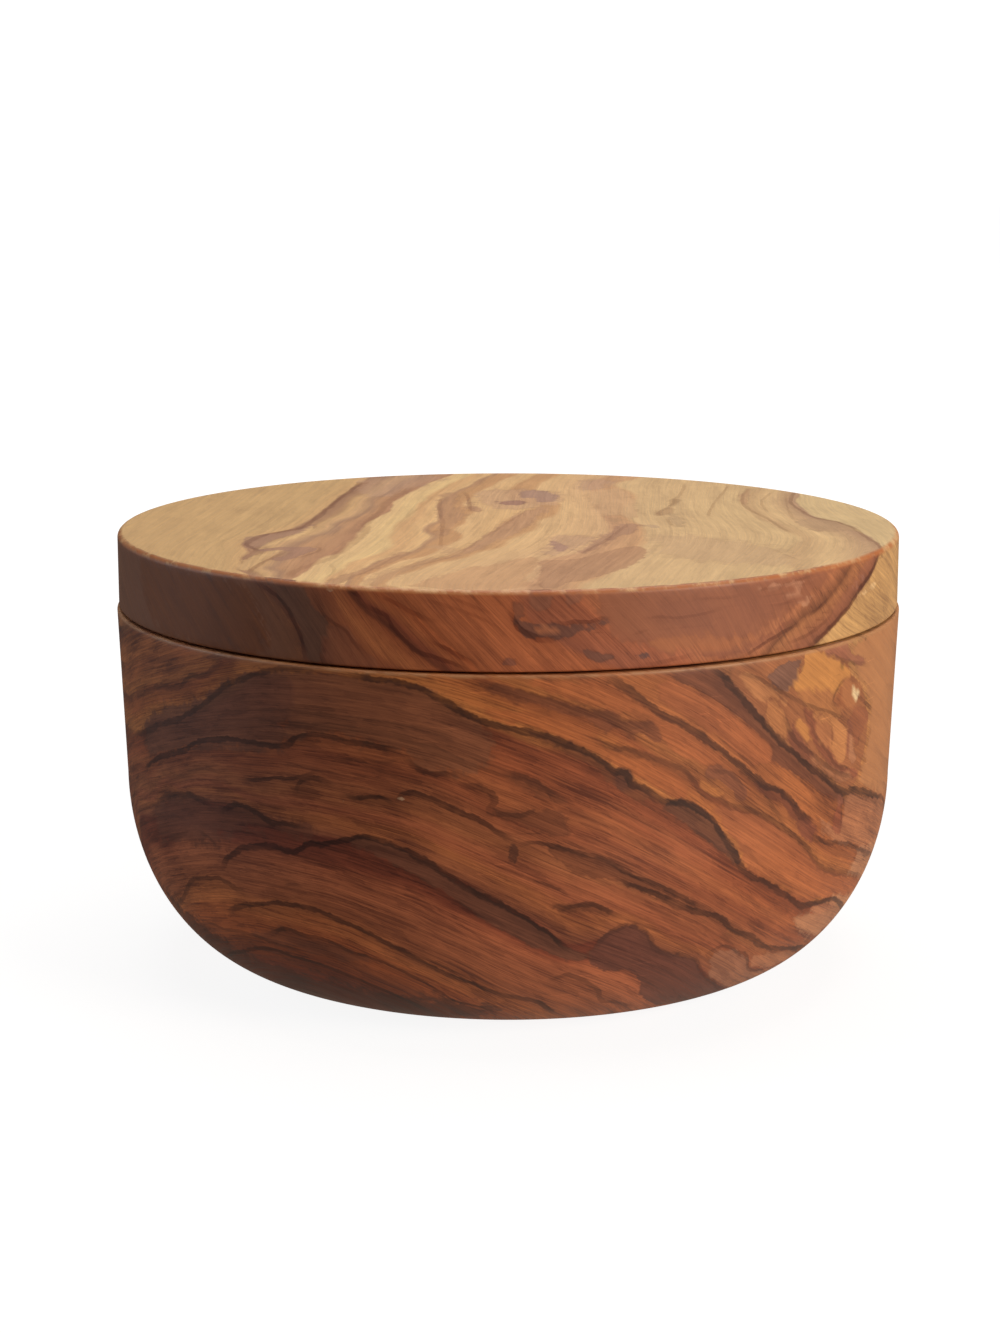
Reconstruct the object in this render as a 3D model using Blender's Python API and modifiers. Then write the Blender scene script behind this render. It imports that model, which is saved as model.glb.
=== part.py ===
"""Round salt box turned from olive wood: a deep bowl under a flush lid that swivels on a hidden pin.

The box stands on its flat base at the origin, +Z up. The front faces -Y, the pivot pin is in the
right side of the rim (+X) and the magnets are in the left side (-X). Lengths are in metres.
"""

import math

import bpy

# Lid
LID_RADIUS = 0.0600
LID_THICKNESS = 0.0112
LID_TOP_ROUND = 0.0008

# Seam between the lid and the bowl
SEAM_GAP = 0.0003
SEAM_ROUND = 0.0004
RIM_PROUD = 0.0003

# Outside of the bowl
BOWL_HEIGHT = 0.0555
WALL_TAPER = 0.0010
SHOULDER_HEIGHT = 0.0298
BASE_RADIUS = 0.0370

# Salt cavity
WALL_THICKNESS = 0.0113
FLOOR_THICKNESS = 0.0100
CAVITY_CORNER_RADIUS = 0.0200
MOUTH_ROUND = 0.0010

# Steel pin, pressed into the rim and standing up into a blind hole in the lid
PIN_RADIUS = 0.0025
PIN_IN_BOWL = 0.0160
PIN_IN_LID = 0.0070
PIN_CHAMFER = 0.0004
PIN_SIDE_CLEARANCE = 0.0001
PIN_END_CLEARANCE = 0.0003

# Disc magnets, one let into the rim and one into the underside of the lid
MAGNET_RADIUS = 0.0030
MAGNET_THICKNESS = 0.0030
MAGNET_CHAMFER = 0.0002
MAGNET_RECESS = 0.0001
MAGNET_SIDE_CLEARANCE = 0.0001
MAGNET_END_CLEARANCE = 0.0003

# Sides of the turned shapes, and points along their curves
TURNED_SIDES = 96
SMALL_SIDES = 32
FOOT_CURVE_POINTS = 12
CAVITY_CURVE_POINTS = 8
EDGE_ROUND_POINTS = 3

# Places that follow from the sizes above
RIM_RADIUS = LID_RADIUS + RIM_PROUD
SHOULDER_RADIUS = RIM_RADIUS - WALL_TAPER
CAVITY_RADIUS = RIM_RADIUS - WALL_THICKNESS
RIM_CENTRE_RADIUS = (RIM_RADIUS + CAVITY_RADIUS) / 2
LID_UNDERSIDE = BOWL_HEIGHT + SEAM_GAP
LID_TOP = LID_UNDERSIDE + LID_THICKNESS
PIVOT_X = RIM_CENTRE_RADIUS
MAGNET_X = -RIM_CENTRE_RADIUS

# Finishes: sRGB colour, roughness, metallic
OLIVE_WOOD = ((0.60, 0.34, 0.19), 0.48, 0.0)
LID_WOOD = ((0.75, 0.59, 0.41), 0.48, 0.0)
STEEL = ((0.66, 0.67, 0.69), 0.28, 1.0)
NICKEL = ((0.72, 0.71, 0.68), 0.22, 1.0)

SHARP_ANGLE = math.radians(40)


def remove_everything():
    """Empty the scene, so that only this object is in it."""
    for obj in list(bpy.data.objects):
        bpy.data.objects.remove(obj, do_unlink=True)


def new_collection(name):
    """Return a new collection of the scene."""
    collection = bpy.data.collections.new(name)
    bpy.context.scene.collection.children.link(collection)
    return collection


def linear(channel):
    """Turn one sRGB colour channel into linear light."""
    if channel <= 0.04045:
        return channel / 12.92
    return ((channel + 0.055) / 1.055) ** 2.4


def new_material(name, finish):
    """Return a Principled material with this finish."""
    colour, roughness, metallic = finish
    material = bpy.data.materials.new(name)
    material.use_nodes = True
    shader = material.node_tree.nodes["Principled BSDF"]
    shader.inputs["Base Color"].default_value = (*[linear(channel) for channel in colour], 1)
    shader.inputs["Roughness"].default_value = roughness
    shader.inputs["Metallic"].default_value = metallic
    return material


def arc(centre, radii, start, end, count):
    """Points (r, z) along an elliptical arc, between two angles in degrees."""
    points = []
    for step in range(count):
        angle = math.radians(start + (end - start) * step / (count - 1))
        points.append((centre[0] + radii[0] * math.cos(angle), centre[1] + radii[1] * math.sin(angle)))
    return points


def turn(name, profile, sides, collection):
    """Turn a profile of (r, z) points, which runs down its outer side, into a solid about the Z axis."""
    mesh = bpy.data.meshes.new(name)
    points = [(radius, 0, height) for radius, height in profile]
    mesh.from_pydata(points, [(i, i + 1) for i in range(len(points) - 1)], [])
    obj = bpy.data.objects.new(name, mesh)
    collection.objects.link(obj)
    screw = obj.modifiers.new("Turned", "SCREW")
    screw.steps = sides
    screw.render_steps = sides
    screw.use_merge_vertices = True
    screw.merge_threshold = 0.00001
    return obj


def bowl_profile():
    """Half section of the bowl, from the middle of the cavity floor, over the rim, to the base."""
    corner = (CAVITY_RADIUS - CAVITY_CORNER_RADIUS, FLOOR_THICKNESS + CAVITY_CORNER_RADIUS)
    mouth = (CAVITY_RADIUS + MOUTH_ROUND, BOWL_HEIGHT - MOUTH_ROUND)
    rim = (RIM_RADIUS - SEAM_ROUND, BOWL_HEIGHT - SEAM_ROUND)
    foot = (BASE_RADIUS, SHOULDER_HEIGHT)
    foot_radii = (SHOULDER_RADIUS - BASE_RADIUS, SHOULDER_HEIGHT)
    corner_radii = (CAVITY_CORNER_RADIUS, CAVITY_CORNER_RADIUS)
    return [
        (0, FLOOR_THICKNESS),
        *arc(corner, corner_radii, -90, 0, CAVITY_CURVE_POINTS),
        *arc(mouth, (MOUTH_ROUND, MOUTH_ROUND), 180, 90, EDGE_ROUND_POINTS),
        *arc(rim, (SEAM_ROUND, SEAM_ROUND), 90, 0, EDGE_ROUND_POINTS),
        *arc(foot, foot_radii, 0, -90, FOOT_CURVE_POINTS),
        (0, 0),
    ]


def lid_profile():
    """Half section of the lid, from the middle of its top to the middle of its underside."""
    top = (LID_RADIUS - LID_TOP_ROUND, LID_TOP - LID_TOP_ROUND)
    lower = (LID_RADIUS - SEAM_ROUND, LID_UNDERSIDE + SEAM_ROUND)
    return [
        (0, LID_TOP),
        *arc(top, (LID_TOP_ROUND, LID_TOP_ROUND), 90, 0, EDGE_ROUND_POINTS),
        *arc(lower, (SEAM_ROUND, SEAM_ROUND), 0, -90, EDGE_ROUND_POINTS),
        (0, LID_UNDERSIDE),
    ]


def disc_profile(radius, bottom, top, chamfer):
    """Half section of a round pin or disc with both ends chamfered."""
    return [
        (0, top),
        (radius - chamfer, top),
        (radius, top - chamfer),
        (radius, bottom + chamfer),
        (radius - chamfer, bottom),
        (0, bottom),
    ]


def make_cutter(name, radius, x, bottom, top, collection):
    """Return a plain upright cylinder that cuts a hole across the seam."""
    profile = [(0, top), (radius, top), (radius, bottom), (0, bottom)]
    cutter = turn(name, profile, SMALL_SIDES, collection)
    cutter.location.x = x
    cutter.hide_render = True
    cutter.display_type = "WIRE"
    return cutter


def cut(obj, cutters):
    """Cut these shapes out of the object."""
    for cutter in cutters:
        boolean = obj.modifiers.new(f"Cut {cutter.name}", "BOOLEAN")
        boolean.operation = "DIFFERENCE"
        boolean.solver = "EXACT"
        boolean.object = cutter


def settle(obj, material):
    """Apply the modifiers, give the material and shade the round faces smooth."""
    bpy.context.view_layer.update()
    graph = bpy.context.evaluated_depsgraph_get()
    mesh = bpy.data.meshes.new_from_object(obj.evaluated_get(graph))
    obj.modifiers.clear()
    obj.data = mesh
    mesh.materials.clear()
    mesh.materials.append(material)
    mesh.shade_smooth()
    mesh.set_sharp_from_angle(angle=SHARP_ANGLE)


def make_cutters(collection):
    """Return the pin's bore and the magnets' pocket, which both cross the seam."""
    bore = make_cutter(
        "pin_bore",
        PIN_RADIUS + PIN_SIDE_CLEARANCE,
        PIVOT_X,
        BOWL_HEIGHT - PIN_IN_BOWL - PIN_END_CLEARANCE,
        LID_UNDERSIDE + PIN_IN_LID + PIN_END_CLEARANCE,
        collection,
    )
    pocket_depth = MAGNET_RECESS + MAGNET_THICKNESS + MAGNET_END_CLEARANCE
    pocket = make_cutter(
        "magnet_pocket",
        MAGNET_RADIUS + MAGNET_SIDE_CLEARANCE,
        MAGNET_X,
        BOWL_HEIGHT - pocket_depth,
        LID_UNDERSIDE + pocket_depth,
        collection,
    )
    return [bore, pocket]


def make_magnet(name, bottom, collection):
    """Return one disc magnet, standing at this height."""
    profile = disc_profile(MAGNET_RADIUS, bottom, bottom + MAGNET_THICKNESS, MAGNET_CHAMFER)
    magnet = turn(name, profile, SMALL_SIDES, collection)
    magnet.location.x = MAGNET_X
    settle(magnet, new_material("nickel_plated_magnet", NICKEL))
    return magnet


def make_pin(collection):
    """Return the pivot pin, which reaches from the rim up into the lid."""
    bottom = BOWL_HEIGHT - PIN_IN_BOWL
    top = LID_UNDERSIDE + PIN_IN_LID
    pin = turn("pivot_pin", disc_profile(PIN_RADIUS, bottom, top, PIN_CHAMFER), SMALL_SIDES, collection)
    pin.location.x = PIVOT_X
    settle(pin, new_material("stainless_steel_pin", STEEL))
    return pin


def make_swivel(pieces, collection):
    """Parent these pieces to an empty on the swivel axis, and leave them where they are."""
    swivel = bpy.data.objects.new("swivel_axis", None)
    swivel.location = (PIVOT_X, 0, LID_UNDERSIDE)
    collection.objects.link(swivel)
    bpy.context.view_layer.update()
    for piece in pieces:
        piece.parent = swivel
        piece.matrix_parent_inverse = swivel.matrix_world.inverted()


def main():
    """Make the bowl, the lid and what is hidden between them."""
    remove_everything()
    box = new_collection("salt_box")
    cutters = make_cutters(new_collection("cutters"))

    bowl = turn("bowl", bowl_profile(), TURNED_SIDES, box)
    cut(bowl, cutters)
    settle(bowl, new_material("oiled_olive_wood_bowl", OLIVE_WOOD))

    lid = turn("lid", lid_profile(), TURNED_SIDES, box)
    cut(lid, cutters)
    settle(lid, new_material("oiled_olive_wood_lid", LID_WOOD))

    pin = make_pin(box)
    make_magnet("bowl_magnet", BOWL_HEIGHT - MAGNET_RECESS - MAGNET_THICKNESS, box)
    lid_magnet = make_magnet("lid_magnet", LID_UNDERSIDE + MAGNET_RECESS, box)
    make_swivel([pin, lid, lid_magnet], box)


main()
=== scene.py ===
"""Looks of the salt box: an oiled olive wood bowl under a flush swivel lid, on a pale studio floor.

The box stands at the origin, +Z up, with its front to -Y. Lengths are in metres, except the places and
widths of the wood's figure, which are in millimetres as read off the object.
"""

import logging
import math
from dataclasses import dataclass, field
from enum import Enum

import bpy
import numpy as np
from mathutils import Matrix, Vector


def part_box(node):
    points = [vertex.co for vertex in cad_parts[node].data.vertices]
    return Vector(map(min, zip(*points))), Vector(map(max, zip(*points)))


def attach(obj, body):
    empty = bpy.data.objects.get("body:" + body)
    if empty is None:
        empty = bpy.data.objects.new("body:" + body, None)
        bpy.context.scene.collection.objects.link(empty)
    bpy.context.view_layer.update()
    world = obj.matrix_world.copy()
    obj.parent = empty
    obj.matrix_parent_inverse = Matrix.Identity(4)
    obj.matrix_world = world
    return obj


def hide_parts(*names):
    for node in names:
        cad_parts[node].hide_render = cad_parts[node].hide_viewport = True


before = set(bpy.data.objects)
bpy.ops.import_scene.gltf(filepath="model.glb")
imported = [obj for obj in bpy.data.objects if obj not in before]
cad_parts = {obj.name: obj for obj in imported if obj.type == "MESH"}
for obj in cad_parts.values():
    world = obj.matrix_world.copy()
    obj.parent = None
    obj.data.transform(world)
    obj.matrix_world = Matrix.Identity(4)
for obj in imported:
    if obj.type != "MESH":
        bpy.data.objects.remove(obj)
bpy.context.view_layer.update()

log = logging.getLogger("salt_box")

MM = 0.001

# Strands that run side by side lie in layers of their own, so that none wipes another out.
STRAND_LAYERS = 7
# How far a strand shades off on the right and on the left of its route, in widths of its core.
STRAND_BELOW = 4.2
STRAND_ABOVE = 1.6
# A strand tapers over this many mm at its ends. It fades over these shares of its reach at its sides,
# and next to another strand in its own layer.
STRAND_TAPER = 3.0
SIDE_FADE = 0.25
RIVAL_FADE = 0.3
# How far outside its outline a patch is still worked out, in mm, and in widths of its edge.
PATCH_MARGIN = 2.5
PATCH_EDGES = 6.0
# How loosely the ring numbers follow the veins: closely for the lines, loosely for the fibres.
VEIN_SLACK = 0.02
FIBRE_SLACK = 1.5
# The strands stand for the veins up to this bearing from the front, fading over the last few degrees.
DRAWN_TO = 78.0
DRAWN_FADE = 10.0
# How deep the skin of a top and of a side is taken to be, in mm, so that their eased edges are in it.
TOP_SKIN = 0.9
SIDE_SKIN = 0.8
# How far along a run to the next point a corner is cut.
CORNER_CUT = 0.25
# How many vertices are worked out at a time, which keeps the memory small.
BATCH = 20000

# What makes a MapRange node ease in and out.
SMOOTH = {"interpolation_type": "SMOOTHSTEP"}

Pair = tuple[float, float]
Socket = bpy.types.NodeSocket


class Face(Enum):
    """The face that a point of the figure lies on, and so what its two numbers mean."""

    SIDE = "degrees round from the front, mm above the base"
    TOP = "mm to the right, mm to the back"


@dataclass(frozen=True)
class Vein:
    """One vein of the figure.

    Args:
        ring: its ring number.
        route: the points where it meets a face, two numbers each.
        face: the face.
    """

    ring: float
    route: tuple[float, ...]
    face: Face = Face.SIDE


@dataclass(frozen=True)
class Strand:
    """A dark line of the figure, crisp on the left of its route and fading out on its right.

    Args:
        depth: how dark it is, from 0 to 1.
        width: its core's width in mm.
        route: its points, two numbers each.
        face: the face that it lies on.
    """

    depth: float
    width: float
    route: tuple[float, ...]
    face: Face = Face.SIDE


@dataclass(frozen=True)
class Patch:
    """A patch of another colour, mostly the wood's own; a few zones are painted shade or painted light, and a
    few patches are painted sheen.

    Args:
        colour: its sRGB colour.
        cover: how much of the wood's own colour it hides, from 0 to 1.
        edge: how far it fades in from its outline, in mm.
        outline: its points, two numbers each, which close by themselves.
        face: the face that it lies on.
        calm: how much quieter its grain is, from 0 to 1.
    """

    colour: str
    cover: float
    edge: float
    outline: tuple[float, ...]
    face: Face = Face.SIDE
    calm: float = 0.25


def linear_colour(code: str) -> tuple[float, float, float, float]:
    """Turn an sRGB hex colour into linear light.

    Args:
        code: the colour as "#rrggbb".

    Returns:
        Linear red, green and blue, and a full alpha.
    """
    channels = [int(code[at : at + 2], 16) / 255 for at in (1, 3, 5)]
    red, green, blue = [c / 12.92 if c <= 0.04045 else ((c + 0.055) / 1.055) ** 2.4 for c in channels]
    return red, green, blue, 1.0


class Nodes:
    """The nodes of one material, or of the surroundings."""

    def __init__(self, owner: bpy.types.Material | bpy.types.World) -> None:
        """Turn the owner's nodes on and clear them.

        Args:
            owner: the material, or the surroundings.
        """
        owner.use_nodes = True
        self.tree = owner.node_tree
        self.tree.nodes.clear()

    def add(
        self, kind: str, *values: object, out: int | str = 0, named: dict | None = None, **settings: object
    ) -> Socket | None:
        """Add a node with its settings and links.

        Args:
            kind: the node's type name after "ShaderNode", and its operation where it has one.
            values: what its first inputs get, in order: a socket to link, or a value.
            out: which output to hand back, by number or name.
            named: what its other inputs get, by name.
            settings: the node's own properties.

        Returns:
            The output's socket, or None for a node without outputs.
        """
        kind, *operations = kind.split()
        node = self.tree.nodes.new(f"ShaderNode{kind}")
        for operation in operations:
            node.operation = operation
        for name, value in settings.items():
            setattr(node, name, value)
        for key, value in (dict(enumerate(values)) | (named or {})).items():
            if isinstance(value, Socket):
                self.tree.links.new(value, node.inputs[key])
            else:
                node.inputs[key].default_value = value
        return node.outputs[out] if node.outputs else None


def arc(centre: Pair, radii: Pair, start: float, end: float, step: float) -> list[Pair]:
    """Points (r, z) along an elliptical arc.

    Args:
        centre: the arc's centre.
        radii: its half widths along r and z.
        start: the first angle in degrees, 0 pointing outwards.
        end: the last angle in degrees.
        step: the widest spacing of the points.

    Returns:
        The points, both ends included.
    """
    length = math.radians(abs(end - start)) * max(radii)
    count = max(4, math.ceil(length / step))
    angles = [math.radians(start + (end - start) * i / count) for i in range(count + 1)]
    return [(centre[0] + radii[0] * math.cos(a), centre[1] + radii[1] * math.sin(a)) for a in angles]


def fill_runs(points: list[Pair], step: float) -> list[Pair]:
    """Add points along the straight runs of a profile.

    Args:
        points: the profile's points (r, z).
        step: the widest spacing that is left.

    Returns:
        The profile with the added points.
    """
    filled = [points[0]]
    for (r0, z0), (r1, z1) in zip(points, points[1:]):
        # A run that is only a hair too long isn't split.
        count = max(1, math.ceil(math.hypot(r1 - r0, z1 - z0) / step - 0.01))
        filled += [(r0 + (r1 - r0) * i / count, z0 + (z1 - z0) * i / count) for i in range(1, count + 1)]
    return filled


def turn(name: str, profile: list[Pair], sides: int, x: float = 0.0) -> bpy.types.Object:
    """Turn a profile, which runs down its outer side, into a solid about an upright axis.

    Args:
        name: the new object's name.
        profile: points (r, z) from the axis and back to it.
        sides: the number of steps round the axis.
        x: where the axis stands.

    Returns:
        The object, with its Screw modifier still on it.
    """
    mesh = bpy.data.meshes.new(name)
    mesh.from_pydata([(r, 0, z) for r, z in profile], [(i, i + 1) for i in range(len(profile) - 1)], [])
    piece = bpy.data.objects.new(name, mesh)
    bpy.context.scene.collection.objects.link(piece)
    piece.location.x = x
    screw = piece.modifiers.new("Turned", "SCREW")
    screw.steps = screw.render_steps = sides
    screw.use_merge_vertices = True
    screw.merge_threshold = 0.001 * MM
    return piece


def settle(piece: bpy.types.Object, sharp_angle: float = 35.0) -> bpy.types.Object:
    """Apply the modifiers and the location, and shade the turned faces smooth.

    Args:
        piece: the object.
        sharp_angle: the angle in degrees past which an edge stays sharp.

    Returns:
        The same object.
    """
    bpy.context.view_layer.update()
    evaluated = piece.evaluated_get(bpy.context.evaluated_depsgraph_get())
    mesh = bpy.data.meshes.new_from_object(evaluated)
    mesh.transform(piece.matrix_world)
    piece.modifiers.clear()
    piece.location = (0, 0, 0)
    piece.data = mesh
    mesh.materials.clear()
    mesh.shade_smooth()
    mesh.set_sharp_from_angle(angle=math.radians(sharp_angle))
    return piece


class GrowthField:
    """A smooth field of ring numbers through the blank, fitted to the veins that show on its surface.

    Every point of the wood has a ring number, so that the figure runs on round the back and into the
    hollow as it does in a solid blank.
    """

    # How far the field is rounded off round each fitted point.
    corner_mm: float = 3.0
    # The length that its sums are scaled by, near the blank's radius.
    scale_mm: float = 50.0

    def __init__(self, points: np.ndarray, rings: np.ndarray, slack: float) -> None:
        """Fit the field.

        Args:
            points: places on the veins, in mm.
            rings: the ring number at each.
            slack: how loosely it follows the veins.
        """
        self.points = points
        count = len(points)
        kernel = self.distances(points) / self.scale_mm - slack * np.eye(count)
        plane = self.plane(points)
        system = np.block([[kernel, plane], [plane.T, np.zeros((4, 4))]])
        solved = np.linalg.solve(system, np.concatenate([rings, np.zeros(4)]))
        self.weights, self.tilt = solved[:count], solved[count:]

    def distances(self, places: np.ndarray) -> np.ndarray:
        """Rounded distances in mm from each place to each fitted point."""
        squares = (places**2).sum(1)[:, None] + (self.points**2).sum(1)[None] - 2 * places @ self.points.T
        return np.sqrt(np.maximum(squares, 0) + self.corner_mm**2)

    def plane(self, places: np.ndarray) -> np.ndarray:
        """The linear terms at each place."""
        return np.column_stack([np.ones(len(places)), places / self.scale_mm])

    def at(self, places: np.ndarray) -> tuple[np.ndarray, np.ndarray]:
        """Read the field.

        Args:
            places: points of the wood, in mm.

        Returns:
            The ring number at each place, and how many rings there are to a mm there.
        """
        rings = np.empty(len(places))
        spacing = np.empty(len(places))
        for start in range(0, len(places), BATCH):
            part = slice(start, start + BATCH)
            distances = self.distances(places[part])
            rings[part] = distances @ self.weights / self.scale_mm + self.plane(places[part]) @ self.tilt
            pull = self.weights / distances
            slope = places[part] * pull.sum(1)[:, None] - pull @ self.points + self.tilt[1:]
            spacing[part] = np.linalg.norm(slope, axis=1) / self.scale_mm
        return rings, spacing


def reach(places: np.ndarray, path: np.ndarray) -> np.ndarray:
    """Measure how far places are from a path.

    Args:
        places: the places, in mm.
        path: the path's points, in mm.

    Returns:
        The distance of each place, in mm.
    """
    nearest = np.linalg.norm(places - path[0], axis=1)
    for start, end in zip(path, path[1:]):
        run = end - start
        share = np.clip((places - start) @ run / (run @ run), 0, 1)
        nearest = np.minimum(nearest, np.linalg.norm(places - start - share[:, None] * run, axis=1))
    return nearest


def points_of(numbers: tuple[float, ...]) -> np.ndarray:
    """Part a run of numbers into points, one row of two for each."""
    return np.reshape(numbers, (-1, 2)).astype(float)


def soften(path: np.ndarray, closed: bool, rounds: int = 2) -> np.ndarray:
    """Round the corners of a given route or outline by cutting them.

    Args:
        path: its points, one row for each.
        closed: whether it runs back to its start.
        rounds: how many times they are cut.

    Returns:
        The rounder route or outline, likewise.
    """
    for _ in range(rounds):
        after = np.roll(path, -1, axis=0) if closed else path[1:]
        before = path if closed else path[:-1]
        near_before = (1 - CORNER_CUT) * before + CORNER_CUT * after
        near_after = CORNER_CUT * before + (1 - CORNER_CUT) * after
        cut = np.stack([near_before, near_after], axis=1).reshape(-1, 2)
        path = cut if closed else np.vstack([path[:1], cut[1:-1], path[-1:]])
    return path


def follow(
    places: np.ndarray, flat: np.ndarray, path: np.ndarray, route: np.ndarray
) -> tuple[np.ndarray, np.ndarray]:
    """Find where places lie against a route.

    Args:
        places: the places in space, in mm.
        flat: the same places laid flat.
        path: the route's points in space, in mm.
        route: the same points laid flat.

    Returns:
        The distance, above 0 on the left of the route, and how far along it the nearest point is, in mm.
    """
    nearest = np.full(len(places), np.inf)
    side = np.ones(len(places))
    along = np.zeros(len(places))
    travelled = 0.0
    for start, end, flat_start, flat_end in zip(path, path[1:], route, route[1:]):
        run = end - start
        length = np.linalg.norm(run)
        share = np.clip((places - start) @ run / length**2, 0, 1)
        distance = np.linalg.norm(places - start - share[:, None] * run, axis=1)
        turn_left = flat_end - flat_start
        left = turn_left[0] * (flat[:, 1] - flat_start[1]) - turn_left[1] * (flat[:, 0] - flat_start[0]) >= 0
        closer = distance < nearest
        nearest[closer] = distance[closer]
        side[closer] = np.where(left, 1.0, -1.0)[closer]
        along[closer] = travelled + share[closer] * length
        travelled += length
    return nearest * side, along


def inside(places: np.ndarray, outline: np.ndarray) -> np.ndarray:
    """Tell which places lie inside a flat outline.

    Args:
        places: the places, two numbers each.
        outline: the outline's points, likewise.

    Returns:
        True for each place that does.
    """
    within = np.zeros(len(places), bool)
    for (x0, y0), (x1, y1) in zip(outline, np.roll(outline, -1, axis=0)):
        crosses = (places[:, 1] < y0) != (places[:, 1] < y1)
        with np.errstate(divide="ignore", invalid="ignore"):
            at = x0 + (places[:, 1] - y0) * (x1 - x0) / (y1 - y0)
        within ^= crosses & (places[:, 0] < at)
    return within


@dataclass(frozen=True)
class Figure:
    """The colours of one face of the wood, ring by ring.

    Args:
        bands: (ring, sRGB colour) pairs in rising order.
        low: the ring number at the start of the ramp.
        high: the ring number at its end.
    """

    bands: tuple[tuple[float, str], ...]
    low: float
    high: float

    def colour(self, nodes: Nodes, ring: Socket) -> Socket:
        """Add the ramp that turns a ring number into its colour."""
        stops = [(at, linear_colour(code)) for at, code in self.bands]
        return self.ramp(nodes, ring, stops, "LINEAR")

    def ramp(self, nodes: Nodes, ring: Socket, stops: list[tuple[float, tuple]], steps: str) -> Socket:
        """Add a ramp over the ring numbers.

        Args:
            nodes: the material's nodes.
            ring: the ring number.
            stops: (ring, linear colour) pairs in rising order, 32 at most.
            steps: how the ramp goes from stop to stop.

        Returns:
            The ramp's colour.
        """
        colour = nodes.add("ValToRGB", nodes.add("MapRange", ring, self.low, self.high))
        ramp = colour.node.color_ramp
        ramp.interpolation = steps
        while len(ramp.elements) > 1:
            ramp.elements.remove(ramp.elements[-1])
        places = [max(0.0, (at - self.low) / (self.high - self.low)) for at, _ in stops]
        ramp.elements[0].position, ramp.elements[0].color = places[0], stops[0][1]
        for place, (_, shade) in zip(places[1:], stops[1:]):
            ramp.elements.new(place).color = shade
        return colour


@dataclass(frozen=True)
class LitWornEdge:
    """An edge that is lighter, partly worn by handling and partly a painted highlight where its rounding
    catches the light: its radius and height, how far in it reaches, and its colour.
    """

    radius: float
    height: float
    width: float
    colour: str


@dataclass(frozen=True)
class Noise:
    """The noise at a point of the wood.

    Args:
        nodes: the material's nodes.
        place: the point's place in metres.
    """

    nodes: Nodes
    place: Socket

    def cloud(self, size_mm: float, detail: float = 3.0) -> Socket:
        """Add soft noise about 0, with its features this many mm apart."""
        named = {"Vector": self.place, "Scale": 1 / (size_mm * MM), "Detail": detail, "Roughness": 0.62}
        return self.nodes.add("Math SUBTRACT", self.nodes.add("TexNoise", named=named), 0.5)

    def fibres(self, ring: Socket, per_ring: float, run_mm: float) -> Socket:
        """Add noise about 0 that is drawn out along the veins.

        Args:
            ring: the point's ring number.
            per_ring: how many fibres there are to a ring.
            run_mm: how far each runs.

        Returns:
            The noise's socket.
        """
        add = self.nodes.add
        across = add("Math MULTIPLY", ring, per_ring)
        shift = add("CombineXYZ", across, across)
        along = add("VectorMath SCALE", self.place, named={"Scale": 1 / (run_mm * MM)})
        vector = add("VectorMath ADD", along, shift)
        noise = add("TexNoise", named={"Vector": vector, "Scale": 1.0, "Detail": 4.0, "Roughness": 0.65})
        return add("Math SUBTRACT", noise, 0.5)


@dataclass(frozen=True)
class Grain(Noise):
    """The run of the grain at a point, which every part of the wood's pattern starts from.

    Args:
        ring: the point's ring number, for the veins and the bands.
        course: its ring number in the looser fit, for the fibres.
        spacing: how many rings there are to a mm.
        streak: the broad streaks, as noise about 0 that is drawn out along the veins.
        thread: the threads, likewise.
        fine: the fine fibres, likewise.
    """

    ring: Socket
    course: Socket
    spacing: Socket
    streak: Socket
    thread: Socket
    fine: Socket


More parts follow.
